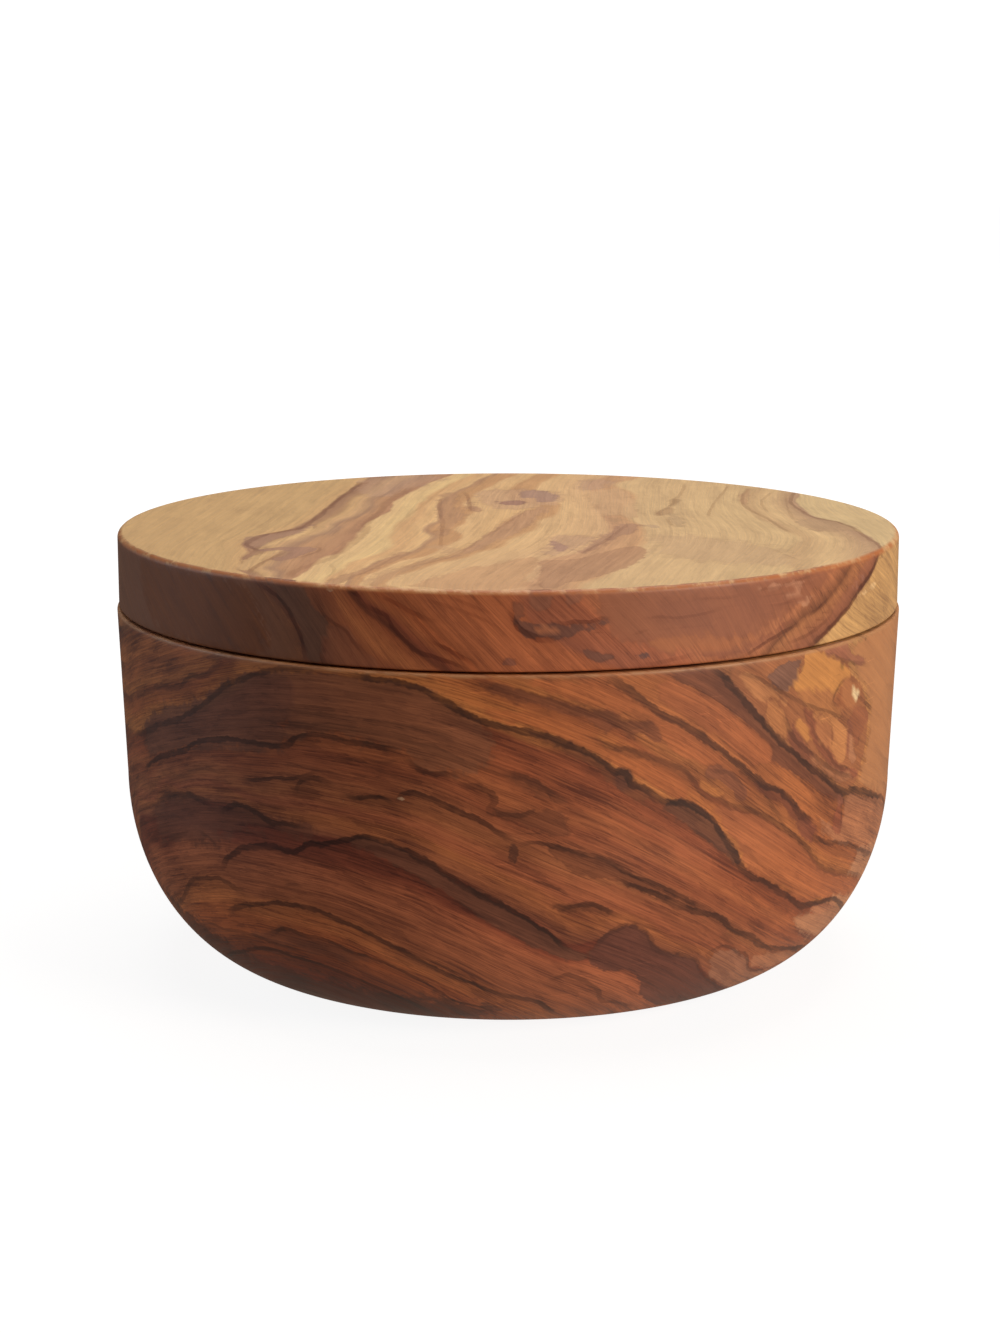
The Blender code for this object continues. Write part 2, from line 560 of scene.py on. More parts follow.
@dataclass(frozen=True)
class OiledOliveWood:
    """Olive wood, turned, sanded along the lathe and oiled.

    Its heartwood has dark, scalloped veins over orange and brown bands, with fine fibres that run along
    them. Turning leaves faint pale rings, and the oil deepens the colours and gives a satin sheen.
    """

    name: str
    # The colours of its side, and of its top where that has its own.
    side: Figure
    top: Figure | None
    # (vein, how dark it is) pairs.
    strengths: tuple[Pair, ...]
    # Its lighter edge: partly wear, partly a painted highlight.
    lit_worn_edge: LitWornEdge
    # What the lines, and the darkest and lightest grain, multiply the colour by.
    vein_tint: str = "#8f8b93"
    dark_tint: str = "#a3969f"
    light_tint: tuple[float, float, float, float] = (1.38, 1.42, 1.36, 1.0)
    # How wide a vein's core, the halo under it and its crisp edge are.
    core_mm: float = 0.9
    halo_mm: float = 3.4
    edge_mm: float = 0.2
    # How far the lobes and the small steps push the veins.
    lobe_mm: float = 0.9
    ragged_mm: float = 0.7
    # How far apart the sway, the lobes and the small steps come, in mm, and their shares of the push.
    sway: Pair = (16.0, 1.4)
    lobe_size: float = 8.5
    steps: tuple[Pair, ...] = ((5.0, 1.0), (1.8, 0.6))
    # How many there are to a ring, and how many mm each runs. The veins stand about 5 mm apart, so the
    # fine fibres and the pores come out about 0.2 mm wide, coarser than the real 0.05 mm, which is too
    # fine to show.
    streak_run: Pair = (2.6, 24.0)
    thread_run: Pair = (7.0, 16.0)
    fine_run: Pair = (20.0, 8.0)
    fleck_run: Pair = (1.7, 9.0)
    pore_run: Pair = (26.0, 2.5)
    gap_run: Pair = (0.7, 11.0)
    # How strong the grain is, what its streaks, threads and fibres, clouds, dark and light flecks and
    # pores add to its tone, and the tone that they start from.
    contrast: float = 1.0
    fibre_depths: tuple[float, float, float] = (1.0, 1.1, 1.8)
    cloud_size: float = 9.0
    cloud_depth: float = 0.8
    fleck_depths: Pair = (-0.2, 0.14)
    pore_depth: float = -0.42
    middle_tone: float = 0.6
    # How far streaks pull the bands of colour, in rings.
    band_pull: float = 5.0
    # How dark the veins at thirds of a ring are, and the shade beside a strand.
    faint_veins: float = 0.55
    halo_depth: float = 0.28
    # Over how many of its widths a strand's crisp side blurs.
    edge_blur: float = 0.3
    # How far noise pushes a patch's outline, in widths of its edge, and how dark its rim is.
    outline_sway: float = 3.2
    rim_depth: float = 0.22
    # The height of the piece's top edge, and how much quieter the grain is above it.
    edge_height: float = 0.0
    top_calm: float = 0.0
    # How much the marks of turning lighten the wood. Real ones are about 0.1 mm apart, too fine to
    # show, so they are drawn coarser.
    turning_light: float = 0.3
    mark_mm: float = 0.35
    # How far the sanded fibres stand up.
    fibre_height: float = 0.05 * MM
    # Satin, between the fibres that took most oil and least, with the IOR of a drying oil.
    roughness: Pair = (0.45, 0.6)
    ior: float = 1.47

    def grain(self, nodes: Nodes) -> Grain:
        """Read the run of the grain from the mesh and let it sway.

        The fibres sway a little, and the veins leave them in lobes and small steps.

        Args:
            nodes: the material's nodes.

        Returns:
            The run of the grain.
        """
        add = nodes.add
        place = add("TexCoord", out="Object")
        noise = Noise(nodes, place)
        growth, spacing, smooth = (
            add("Attribute", out="Fac", attribute_name=name) for name in ("growth", "spacing", "course")
        )
        size_mm, share = self.sway
        sway = noise.cloud(size_mm, 1.0)
        sway = add("Math MULTIPLY", sway, share * self.ragged_mm)
        cells = {"Vector": place, "Scale": 1 / (self.lobe_size * MM)}
        cells = add("TexVoronoi", out="Distance", named=cells)
        lobes = add("Math SUBTRACT", cells, 0.5)
        push = add("Math MULTIPLY_ADD", lobes, self.lobe_mm, sway)
        for size_mm, share in self.steps:
            steps = noise.cloud(size_mm, 2.0)
            push = add("Math MULTIPLY_ADD", steps, share * self.ragged_mm, push)
        course = add("Math MULTIPLY_ADD", sway, spacing, smooth)
        ring = add("Math MULTIPLY_ADD", push, spacing, growth)
        runs = (self.streak_run, self.thread_run, self.fine_run)
        kinds = [noise.fibres(course, *run) for run in runs]
        return Grain(nodes, place, ring, course, spacing, *kinds)

    def material(self) -> bpy.types.Material:
        """Build the material, whose nodes read the figure's attributes of the mesh.

        Returns:
            The material.
        """
        material = bpy.data.materials.new(self.name)
        grain = self.grain(Nodes(material))
        add = grain.nodes.add
        height = add("SeparateXYZ", grain.place, out="Z")
        # The top's colours run out over the half mm below its edge.
        on_top = add("MapRange", height, self.edge_height - 0.5 * MM, self.edge_height, **SMOOTH)
        colour = self.bands(grain, on_top)
        colour, calm = self.lay_patches(grain, "zone", colour)
        colour, calmer = self.lay_patches(grain, "patch", colour)
        calm = add("Math MAXIMUM", calm, calmer)
        calmer = add("Math MULTIPLY", on_top, self.top_calm)
        calm = add("Math MAXIMUM", calm, calmer)
        colour = self.shade(grain, calm, colour)
        line = add("Math MAXIMUM", self.veins(grain), self.strands(grain))
        tint = {"A": colour, "B": linear_colour(self.vein_tint)}
        colour = add("Mix", line, out="Result", named=tint, data_type="RGBA", blend_type="MULTIPLY")
        colour = self.turning_marks(grain, colour)
        colour = self.wear_and_edge_highlight(grain, colour)

        gloss = add("MapRange", grain.fine, -0.2, 0.2, *self.roughness, **SMOOTH)
        bump = add("Bump", named={"Height": grain.fine, "Strength": 0.3, "Distance": self.fibre_height})
        surface = {"Base Color": colour, "Roughness": gloss, "IOR": self.ior, "Normal": bump}
        add("OutputMaterial", add("BsdfPrincipled", named=surface))
        return material

    def bands(self, grain: Grain, on_top: Socket) -> Socket:
        """Add the bands of colour between the veins, drawn out into streaks away from each vein.

        Args:
            grain: the run of the grain.
            on_top: 1 on the piece's top, 0 elsewhere.

        Returns:
            The colour's socket.
        """
        add = grain.nodes.add
        share = add("Math FRACT", grain.ring)
        middle = add("Math MULTIPLY", share, add("Math SUBTRACT", 1.0, share))
        drift = add("Math MULTIPLY", middle, grain.streak)
        drift = add("Math MULTIPLY_ADD", drift, self.band_pull * self.contrast, grain.ring)
        colour = self.side.colour(grain.nodes, drift)
        if self.top is None:
            return colour
        # On the lid the side's colours hold painted shade, so the side comes out darker than the top.
        faces = {"A": colour, "B": self.top.colour(grain.nodes, drift)}
        return add("Mix", on_top, out="Result", named=faces, data_type="RGBA")

    def shade(self, grain: Grain, calm: Socket, colour: Socket) -> Socket:
        """Add the clouds of tone, streaks, threads and fibres, crisp flecks and pores.

        Args:
            grain: the run of the grain.
            calm: how much quieter the grain is, from 0 to 1.
            colour: the colour of the bands and patches.

        Returns:
            The colour with its finer tones.
        """
        add = grain.nodes.add
        tone = grain.cloud(self.cloud_size)
        tone = add("Math MULTIPLY", tone, self.cloud_depth)
        for fibre, depth in zip((grain.streak, grain.thread, grain.fine), self.fibre_depths):
            tone = add("Math MULTIPLY_ADD", fibre, depth, tone)
        flecks = grain.fibres(grain.course, *self.fleck_run)
        pores = grain.fibres(grain.course, *self.pore_run)
        dark, light = self.fleck_depths
        # Where in the noise a mark starts and is whole, and how deep it is.
        dark_flecks = (flecks, 0.035, 0.06, dark)
        light_flecks = (flecks, -0.07, -0.1, light)
        for noise, start, end, depth in (dark_flecks, light_flecks, (pores, 0.08, 0.18, self.pore_depth)):
            mark = add("MapRange", noise, start, end, **SMOOTH)
            tone = add("Math MULTIPLY_ADD", mark, depth, tone)
        depth = add("Math MULTIPLY_ADD", calm, -self.contrast, self.contrast)
        tone = add("Math MULTIPLY_ADD", tone, depth, self.middle_tone)
        tints = {"A": linear_colour(self.dark_tint), "B": self.light_tint}
        tint = add("Mix", tone, out="Result", named=tints, data_type="RGBA")
        return add("VectorMath MULTIPLY", colour, tint)

    def veins(self, grain: Grain) -> Socket:
        """Add the veins at whole rings and fainter ones at thirds, sharp above and fading out below.

        They are for the parts of the surface where no strands were placed.

        Args:
            grain: the run of the grain.

        Returns:
            How dark the veins are, from 0 to 1.
        """
        add = grain.nodes.add
        uneven = grain.cloud(7.0, 2.0)
        total = None
        # How many there are to a ring, their share of the depth, the noise between a gap and a whole
        # vein, and how dark a gap is.
        kinds = (1.0, 1.0, -0.12, 0.06, 0.45), (3.0, self.faint_veins, -0.03, 0.09, 0.0)
        for per_ring, share, start, end, least in kinds:
            number = add("Math MULTIPLY", grain.ring, per_ring)
            off = add("Math SUBTRACT", number, add("Math ROUND", number))
            off = add("Math DIVIDE", off, add("Math MULTIPLY", grain.spacing, per_ring))
            # The core is uneven: between these widths, fading to its upper edge.
            widths = -0.4 * self.core_mm, -1.9 * self.core_mm * share
            width = add("MapRange", uneven, -0.15, 0.15, *widths, **SMOOTH)
            core = add("MapRange", off, width, -0.1 * self.core_mm, **SMOOTH)
            fray = add("Math MULTIPLY_ADD", grain.streak, 1.4 * self.halo_mm, off)
            fray = add("Math MULTIPLY_ADD", uneven, 1.2 * self.halo_mm, fray)
            halo = add("MapRange", fray, -self.halo_mm * share, 0.0, 0.0, 0.55 * share, **SMOOTH)
            body = add("Math MAXIMUM", core, halo)
            line = add("Math MULTIPLY", body, add("MapRange", off, self.edge_mm, 0.0))
            patchy = grain.fibres(grain.ring, *self.gap_run)
            patchy = add("MapRange", patchy, start, end, least, share, **SMOOTH)
            line = add("Math MULTIPLY", line, patchy)
            total = line if total is None else add("Math MAXIMUM", total, line)
        stops = [(at - 0.5, (depth, depth, depth, 1.0)) for at, depth in self.strengths]
        strength = self.side.ramp(grain.nodes, grain.ring, stops, "CONSTANT")
        total = add("Math MULTIPLY", total, strength)
        drawn = add("Attribute", out="Fac", attribute_name="drawn")
        return add("Math MULTIPLY", total, add("Math SUBTRACT", 1.0, drawn))

    def strands(self, grain: Grain) -> Socket:
        """Add the listed strands, crisp on one side and shading off in streaks on the other.

        Args:
            grain: the run of the grain.

        Returns:
            How dark the strands are, from 0 to 1.
        """
        add = grain.nodes.add
        coarse, small = (grain.cloud(*size) for size in ((2.4, 2.0), (0.9, 1.0)))
        ragged = add("Math MULTIPLY", coarse, 1.5 * self.ragged_mm)
        ragged = add("Math MULTIPLY_ADD", small, 0.7 * self.ragged_mm, ragged)
        uneven = grain.cloud(6.0, 2.0)
        # The core's lower side wanders about three quarters of a width down and blurs over half a width.
        # Streaks and threads fray the shade beside it, which reaches 3.6 widths down.
        lower = add("Math MULTIPLY_ADD", uneven, 1.6, -0.75)
        lowest = add("Math SUBTRACT", lower, 0.5)
        total = None
        for layer in range(STRAND_LAYERS):
            off = add("Attribute", out="Fac", attribute_name=f"strand_{layer}")
            depth = add("Attribute", out="Fac", attribute_name=f"depth_{layer}")
            off = add("Math ADD", off, ragged)
            core = add("MapRange", off, lowest, lower, **SMOOTH)
            fray = add("Math MULTIPLY_ADD", grain.streak, 4.0, off)
            fray = add("Math MULTIPLY_ADD", grain.thread, 2.0, fray)
            halo = add("MapRange", fray, -3.6, -0.6, 0.0, self.halo_depth, **SMOOTH)
            edge = add("MapRange", off, self.edge_blur, 0.0, **SMOOTH)
            body = add("Math MULTIPLY", add("Math MAXIMUM", core, halo), edge)
            line = add("Math MULTIPLY", body, depth)
            total = line if total is None else add("Math MAXIMUM", total, line)
        patchy = add("Math ADD", uneven, grain.thread)
        patchy = add("MapRange", patchy, -0.25, 0.1, 0.62, 1.0, **SMOOTH)
        return add("Math MULTIPLY", total, patchy)

    def lay_patches(self, grain: Grain, kind: str, colour: Socket) -> tuple[Socket, Socket]:
        """Add the listed zones or patches, with slightly ragged outlines and rims dark in places.

        Args:
            grain: the run of the grain.
            kind: what their attributes' names start with.
            colour: the wood's colour.

        Returns:
            The colour with the patches laid over it, and how much quieter they make the grain.
        """
        add = grain.nodes.add
        near, cover, calm = (
            add("Attribute", out="Fac", attribute_name=f"{kind}_{name}") for name in ("edge", "cover", "calm")
        )
        shade = add("Attribute", out="Color", attribute_name=f"{kind}_colour")
        coarse, small = (grain.cloud(size) for size in (3.0, 1.0))
        for noise, share in ((coarse, 1.0), (small, 0.6), (grain.streak, 1.0)):
            near = add("Math MULTIPLY_ADD", noise, share * self.outline_sway, near)
        within = add("MapRange", near, -0.4, 0.4, **SMOOTH)
        inner = add("Math MULTIPLY", cover, within)
        colour = add("Mix", inner, out="Result", named={"A": colour, "B": shade}, data_type="RGBA")
        # The rim lies just inside and outside the outline, and soft noise breaks it up.
        rim = add("Math MULTIPLY", cover, self.rim_depth)
        broken = grain.cloud(4.0)
        for value, start, end in ((near, -0.8, -0.1), (near, 0.9, 0.2), (broken, -0.12, 0.12)):
            rim = add("Math MULTIPLY", rim, add("MapRange", value, start, end, **SMOOTH))
        tint = {"A": colour, "B": linear_colour(self.vein_tint)}
        colour = add("Mix", rim, out="Result", named=tint, data_type="RGBA", blend_type="MULTIPLY")
        return colour, add("Math MULTIPLY", within, calm)

    def turning_marks(self, grain: Grain, colour: Socket) -> Socket:
        """Add the fine pale scratches that run round the turned piece.

        Args:
            grain: the run of the grain.
            colour: the wood's colour.

        Returns:
            The colour with the scratches.
        """
        add = grain.nodes.add
        x, y, z = (add("SeparateXYZ", grain.place, out=axis) for axis in "XYZ")
        radius = add("VectorMath LENGTH", add("CombineXYZ", x, y), out="Value")
        bearing = add("Math ARCTAN2", x, add("Math MULTIPLY", y, -1.0))
        # A mark runs on for about a ninth of a radian round the piece.
        fineness = 1 / (self.mark_mm * MM)
        across, down, around = (
            add("Math MULTIPLY", value, scale)
            for value, scale in ((radius, fineness), (z, fineness), (bearing, 9.0))
        )
        lathe = {"Vector": add("CombineXYZ", across, down, around), "Scale": 1.0, "Detail": 2.0}
        marks = add("MapRange", add("TexNoise", named=lathe), 0.64, 0.72, **SMOOTH)
        # They show in some places and not in others.
        here = add("MapRange", grain.cloud(14.0, 2.0), 0.0, 0.1, **SMOOTH)
        light = add("Math MULTIPLY", marks, here)
        light = add("Math MULTIPLY", light, self.turning_light)
        pale = add("VectorMath SCALE", colour, named={"Scale": 1.9})
        return add("Mix", light, out="Result", named={"A": colour, "B": pale}, data_type="RGBA")

    def wear_and_edge_highlight(self, grain: Grain, colour: Socket) -> Socket:
        """Add the lighter line along the piece's edge: partly wear from handling, partly a painted highlight
        where the rounded edge catches the light.

        Args:
            grain: the run of the grain.
            colour: the wood's colour.

        Returns:
            The colour with the worn edge.
        """
        add = grain.nodes.add
        lit_worn_edge = self.lit_worn_edge
        height = add("SeparateXYZ", grain.place, out="Z")
        flat = add("VectorMath MULTIPLY", grain.place, (1.0, 1.0, 0.0))
        radius = add("VectorMath LENGTH", flat, out="Value")
        # Noise makes the lighter edge, part wear and part painted highlight, stronger in some places than in
        # others.
        patchy = grain.cloud(3.0)
        patchy = add("Math MULTIPLY_ADD", grain.thread, 0.5, patchy)
        worn_and_lit = add("MapRange", patchy, -0.15, 0.1, 0.3, 0.85, **SMOOTH)
        for value, corner in ((radius, lit_worn_edge.radius), (height, lit_worn_edge.height)):
            near = add("MapRange", value, corner - 2 * lit_worn_edge.width, corner - lit_worn_edge.width / 2, **SMOOTH)
            worn_and_lit = add("Math MULTIPLY", worn_and_lit, near)
        tint = {"A": colour, "B": linear_colour(lit_worn_edge.colour)}
        return add("Mix", worn_and_lit, out="Result", named=tint, data_type="RGBA")


@dataclass(frozen=True)
class Metal:
    """A metal surface, whose fine marks of grinding or polishing run round it and soften its shine.

    Args:
        name: the material's name.
        colour: its sRGB colour where it is clean.
        roughness: how rough it is on average.
        mark_size_mm: how far apart the marks are.
        mark_depth: how strongly they stand out.
        dull_colour: its sRGB colour in the marks.
    """

    name: str
    colour: str
    roughness: float
    mark_size_mm: float
    mark_depth: float
    dull_colour: str = "#8f8f8f"

    def material(self) -> bpy.types.Material:
        """Build the material, with fine marks round the axis in its roughness and bump.

        Returns:
            The material.
        """
        material = bpy.data.materials.new(self.name)
        add = Nodes(material).add
        # The marks are a twelfth as high as they are long, as a grinding wheel leaves them.
        drawn = add("VectorMath MULTIPLY", add("TexCoord", out="Object"), (1.0, 1.0, 12.0))
        marks = add("TexNoise", named={"Vector": drawn, "Scale": 1 / (self.mark_size_mm * MM), "Detail": 3.0})
        rough = add("MapRange", marks, 0.0, 1.0, self.roughness * 0.7, self.roughness * 1.3)
        tints = {"A": linear_colour(self.colour), "B": linear_colour(self.dull_colour)}
        tint = add("Mix", marks, out="Result", named=tints, data_type="RGBA")
        bump = add("Bump", named={"Height": marks, "Strength": self.mark_depth, "Distance": 0.02 * MM})
        surface = {"Base Color": tint, "Metallic": 1.0, "Roughness": rough, "Normal": bump}
        add("OutputMaterial", add("BsdfPrincipled", named=surface))
        return material


@dataclass
class Part:
    """A piece of the box: its name, the CAD node that it stands for, and that node's body and slot, though
    the slot is not used.
    """

    name: str
    node: str
    body: str
    slot: str
    finish: OiledOliveWood | Metal

    def dress(self, piece: bpy.types.Object) -> bpy.types.Object:
        """Give the turned piece its finish and its place in the frame.

        Args:
            piece: the piece.

        Returns:
            The same piece.
        """
        piece.data.materials.append(self.finish.material())
        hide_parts(self.node)
        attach(piece, self.body)
        return piece


@dataclass
class TurnedWood(Part):
    """A piece of wood turned on a lathe, with the figure of its blank running right through it."""

    veins: tuple[Vein, ...]
    strands: tuple[Strand, ...]
    # The zones are broad and lie under the patches.
    zones: tuple[Patch, ...]
    patches: tuple[Patch, ...]
    has_top: bool = False
    # How finely it is turned: the steps round it, and the steps along its outer and inner sides.
    sides: int = 480
    outer_step: float = 0.8 * MM
    inner_step: float = 1.6 * MM
    # The corners of its CAD solid, and which vertices lie on each face.
    low: Vector = field(init=False)
    high: Vector = field(init=False)
    skin: dict[Face, np.ndarray] = field(init=False)

    def profile(self) -> list[Pair]:
        """Half section of the piece, from the axis, down its outer side and back."""
        raise NotImplementedError

    def radius_at(self, height: float) -> float:
        """Radius of the outer side at this height, both in mm."""
        raise NotImplementedError

    def __post_init__(self) -> None:
        """Keep the corners of the CAD solid, which give the piece its radius and heights."""
        self.low, self.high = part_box(self.node)

    def locate(self, face: Face, points: np.ndarray) -> np.ndarray:
        """Find points of the figure in space.

        Args:
            face: the face that they lie on.
            points: one row for each, with the two numbers that the face defines.

        Returns:
            One row of x, y and z in mm for each point.
        """
        if face is Face.TOP:
            return np.array([(x, y, self.high.z / MM) for x, y in points])
        places = []
        for degrees, height in points:
            angle, radius = math.radians(degrees), self.radius_at(height)
            places.append((radius * math.sin(angle), -radius * math.cos(angle), height))
        return np.array(places)

    def grain(self, slack: float) -> GrowthField:
        """Fit a field of ring numbers to the veins.

        Args:
            slack: how loosely it follows them.

        Returns:
            The field.
        """
        points = [self.locate(vein.face, points_of(vein.route)) for vein in self.veins]
        rings = [np.full(len(places), float(vein.ring)) for places, vein in zip(points, self.veins)]
        return GrowthField(np.concatenate(points), np.concatenate(rings), slack)

    def read(self, face: Face, places: np.ndarray) -> np.ndarray:
        """Find the two numbers that a face gives to places of the wood.

        Args:
            face: the face.
            places: the places, in mm.

        Returns:
            The two numbers of each place.
        """
        if face is Face.TOP:
            return places[:, :2]
        return np.column_stack([np.degrees(np.arctan2(places[:, 0], -places[:, 1])), places[:, 2]])

    def lay_flat(self, face: Face, points: np.ndarray) -> np.ndarray:
        """Lay points of a face flat.

        Args:
            face: the face.
            points: one row for each, with the two numbers that the face defines.

        Returns:
            One row for each, in mm across and mm up.
        """
        if face is Face.TOP:
            return points
        return points * (math.radians(self.high.x / MM), 1.0)

    def on_face(self, face: Face, places: np.ndarray) -> np.ndarray:
        """Tell which places lie on a face's own skin.

        Args:
            face: the face.
            places: the places, in mm.

        Returns:
            True for each place that does.
        """
        if face is Face.TOP:
            return places[:, 2] > self.high.z / MM - TOP_SKIN
        radii = np.array([self.radius_at(height) for height in places[:, 2]])
        return np.hypot(places[:, 0], places[:, 1]) > radii - SIDE_SKIN

    def near(self, face: Face, places: np.ndarray, outline: np.ndarray, margin: float) -> np.ndarray:
        """Pick the places near an outline on a face.

        Args:
            face: the face.
            places: points of the wood, in mm.
            outline: the outline, in mm across and up.
            margin: how far out of its box they may be, in mm.

        Returns:
            The numbers of these places.
        """
        flat = self.lay_flat(face, self.read(face, places))
        close = (flat > outline.min(0) - margin).all(1) & (flat < outline.max(0) + margin).all(1)
        return np.flatnonzero(close & self.skin[face])

    def draw_strands(self, places: np.ndarray) -> dict[str, np.ndarray]:
        """Work out the strands' layers. Each strand takes the layer where it meets the fewest others.

        Args:
            places: the vertices, in mm.

        Returns:
            For each layer how many widths each vertex is off its strand, and how dark the strand is there.
        """
        shape = (STRAND_LAYERS, len(places))
        off = np.full(shape, 1.0)
        depth = np.zeros(shape)
        # How far across the reach of its own strand a vertex is, and of the next nearest one.
        claim = np.ones(shape)
        rival = np.full(shape, 2.0)
        for strand in self.strands:
            route = soften(points_of(strand.route), False)
            path = self.locate(strand.face, route)
            flat_route = self.lay_flat(strand.face, route)
            picked = self.near(strand.face, places, flat_route, STRAND_BELOW * strand.width)
            flat = self.lay_flat(strand.face, self.read(strand.face, places[picked]))
            distance, along = follow(places[picked], flat, path, flat_route)
            here = distance / strand.width
            far = np.maximum(here / STRAND_ABOVE, -here / STRAND_BELOW)
            picked, here, far, along = (values[far < 1] for values in (picked, here, far, along))
            level = int(np.argmin([np.count_nonzero(claim[k, picked] < 1) for k in range(STRAND_LAYERS)]))
            wins = far < claim[level, picked]
            rival[level, picked] = np.where(wins, claim[level, picked], np.minimum(rival[level, picked], far))
            length = np.linalg.norm(np.diff(path, axis=0), axis=1).sum()
            taper = np.clip(np.minimum(along, length - along) / min(STRAND_TAPER, length / 3), 0, 1)
            fade = np.clip((1 - far) / SIDE_FADE, 0, 1)
            won = picked[wins]
            claim[level, won] = far[wins]
            off[level, won] = here[wins]
            depth[level, won] = (strand.depth * taper * fade)[wins]
        rival = np.where(rival == 1, 2, rival)
        depth *= np.clip((rival - claim) / RIVAL_FADE, 0, 1)
        layers = {f"strand_{level}": off[level] for level in range(STRAND_LAYERS)}
        return layers | {f"depth_{level}": depth[level] for level in range(STRAND_LAYERS)}

    def draw_patches(
        self, places: np.ndarray, patches: tuple[Patch, ...]
    ) -> tuple[np.ndarray, np.ndarray, np.ndarray, np.ndarray]:
        """Work out the patches. Where they overlap, the last one shows.

        Args:
            places: the vertices, in mm.
            patches: the patches.

        Returns:
            For each vertex how many edge widths it is into a patch, below 0 outside, how much the patch
            covers there, how calm it is and its linear colour.
        """
        edge = np.full(len(places), -PATCH_EDGES)
        # How far inside its patch each vertex is, in mm.
        depth = np.full(len(places), -PATCH_MARGIN)
        cover = np.zeros(len(places))
        calm = np.zeros(len(places))
        colours = np.ones((len(places), 4))
        for patch in patches:
            outline = soften(points_of(patch.outline), True, 1)
            path = self.locate(patch.face, outline)
            picked = self.near(patch.face, places, self.lay_flat(patch.face, outline), PATCH_MARGIN)
            if not len(picked):
                continue
            within = inside(self.read(patch.face, places[picked]), outline)
            away = reach(places[picked], np.vstack([path, path[:1]]))
            away = np.where(within, away, -away)
            here = np.clip(away / patch.edge, -PATCH_EDGES, PATCH_EDGES)
            wins = (away > depth[picked]) | (away > 0)
            depth[picked[wins]] = away[wins]
            edge[picked[wins]] = here[wins]
            cover[picked[wins]] = patch.cover
            calm[picked[wins]] = patch.calm
            colours[picked[wins]] = linear_colour(patch.colour)
        return edge, cover, calm, colours

    def drawn(self, places: np.ndarray) -> np.ndarray:
        """Say how far the strands stand for the veins.

        Args:
            places: the vertices, in mm.

        Returns:
            1 on the top and the front, 0 behind and inside, and between them in between.
        """
        bearing = np.abs(self.read(Face.SIDE, places)[:, 0])
        front = np.clip((DRAWN_TO - bearing) / DRAWN_FADE, 0, 1)
        return np.where(self.skin[Face.TOP] & self.has_top, 1.0, front * self.skin[Face.SIDE])

    def draw_figure(self, mesh: bpy.types.Mesh) -> None:
        """Store the ring numbers, the strands and the patches at the mesh's vertices.

        Args:
            mesh: the piece's mesh.
        """
        places = np.empty(len(mesh.vertices) * 3, np.float32)
        mesh.vertices.foreach_get("co", places)
        places = places.reshape(-1, 3).astype(float) / MM
        self.skin = {face: self.on_face(face, places) for face in Face}
        rings, spacing = self.grain(VEIN_SLACK).at(places)
        course, _ = self.grain(FIBRE_SLACK).at(places)
        layers = {"growth": rings, "spacing": spacing, "course": course, "drawn": self.drawn(places)}
        layers |= self.draw_strands(places)
        for kind, patches in (("zone", self.zones), ("patch", self.patches)):
            edge, cover, calm, colours = self.draw_patches(places, patches)
            layers |= {f"{kind}_edge": edge, f"{kind}_cover": cover, f"{kind}_calm": calm}
            layer = mesh.attributes.new(f"{kind}_colour", "FLOAT_COLOR", "POINT")
            layer.data.foreach_set("color", colours.astype(np.float32).ravel())
        for name, values in layers.items():
            layer = mesh.attributes.new(name, "FLOAT", "POINT")
            layer.data.foreach_set("value", values.astype(np.float32))

    def build(self, cutters: list[bpy.types.Object]) -> bpy.types.Object:
        """Turn the piece, bore it and dress it.

        Args:
            cutters: the shapes to cut out of it.

        Returns:
            The finished piece, riding on its body.
        """
        piece = turn(self.name, self.profile(), self.sides)
        for cutter in cutters:
            bore = piece.modifiers.new(f"Cut {cutter.name}", "BOOLEAN")
            bore.operation = "DIFFERENCE"
            bore.solver = "MANIFOLD"
            bore.object = cutter
        settle(piece)
        self.draw_figure(piece.data)
        return self.dress(piece)


TOP = Face.TOP
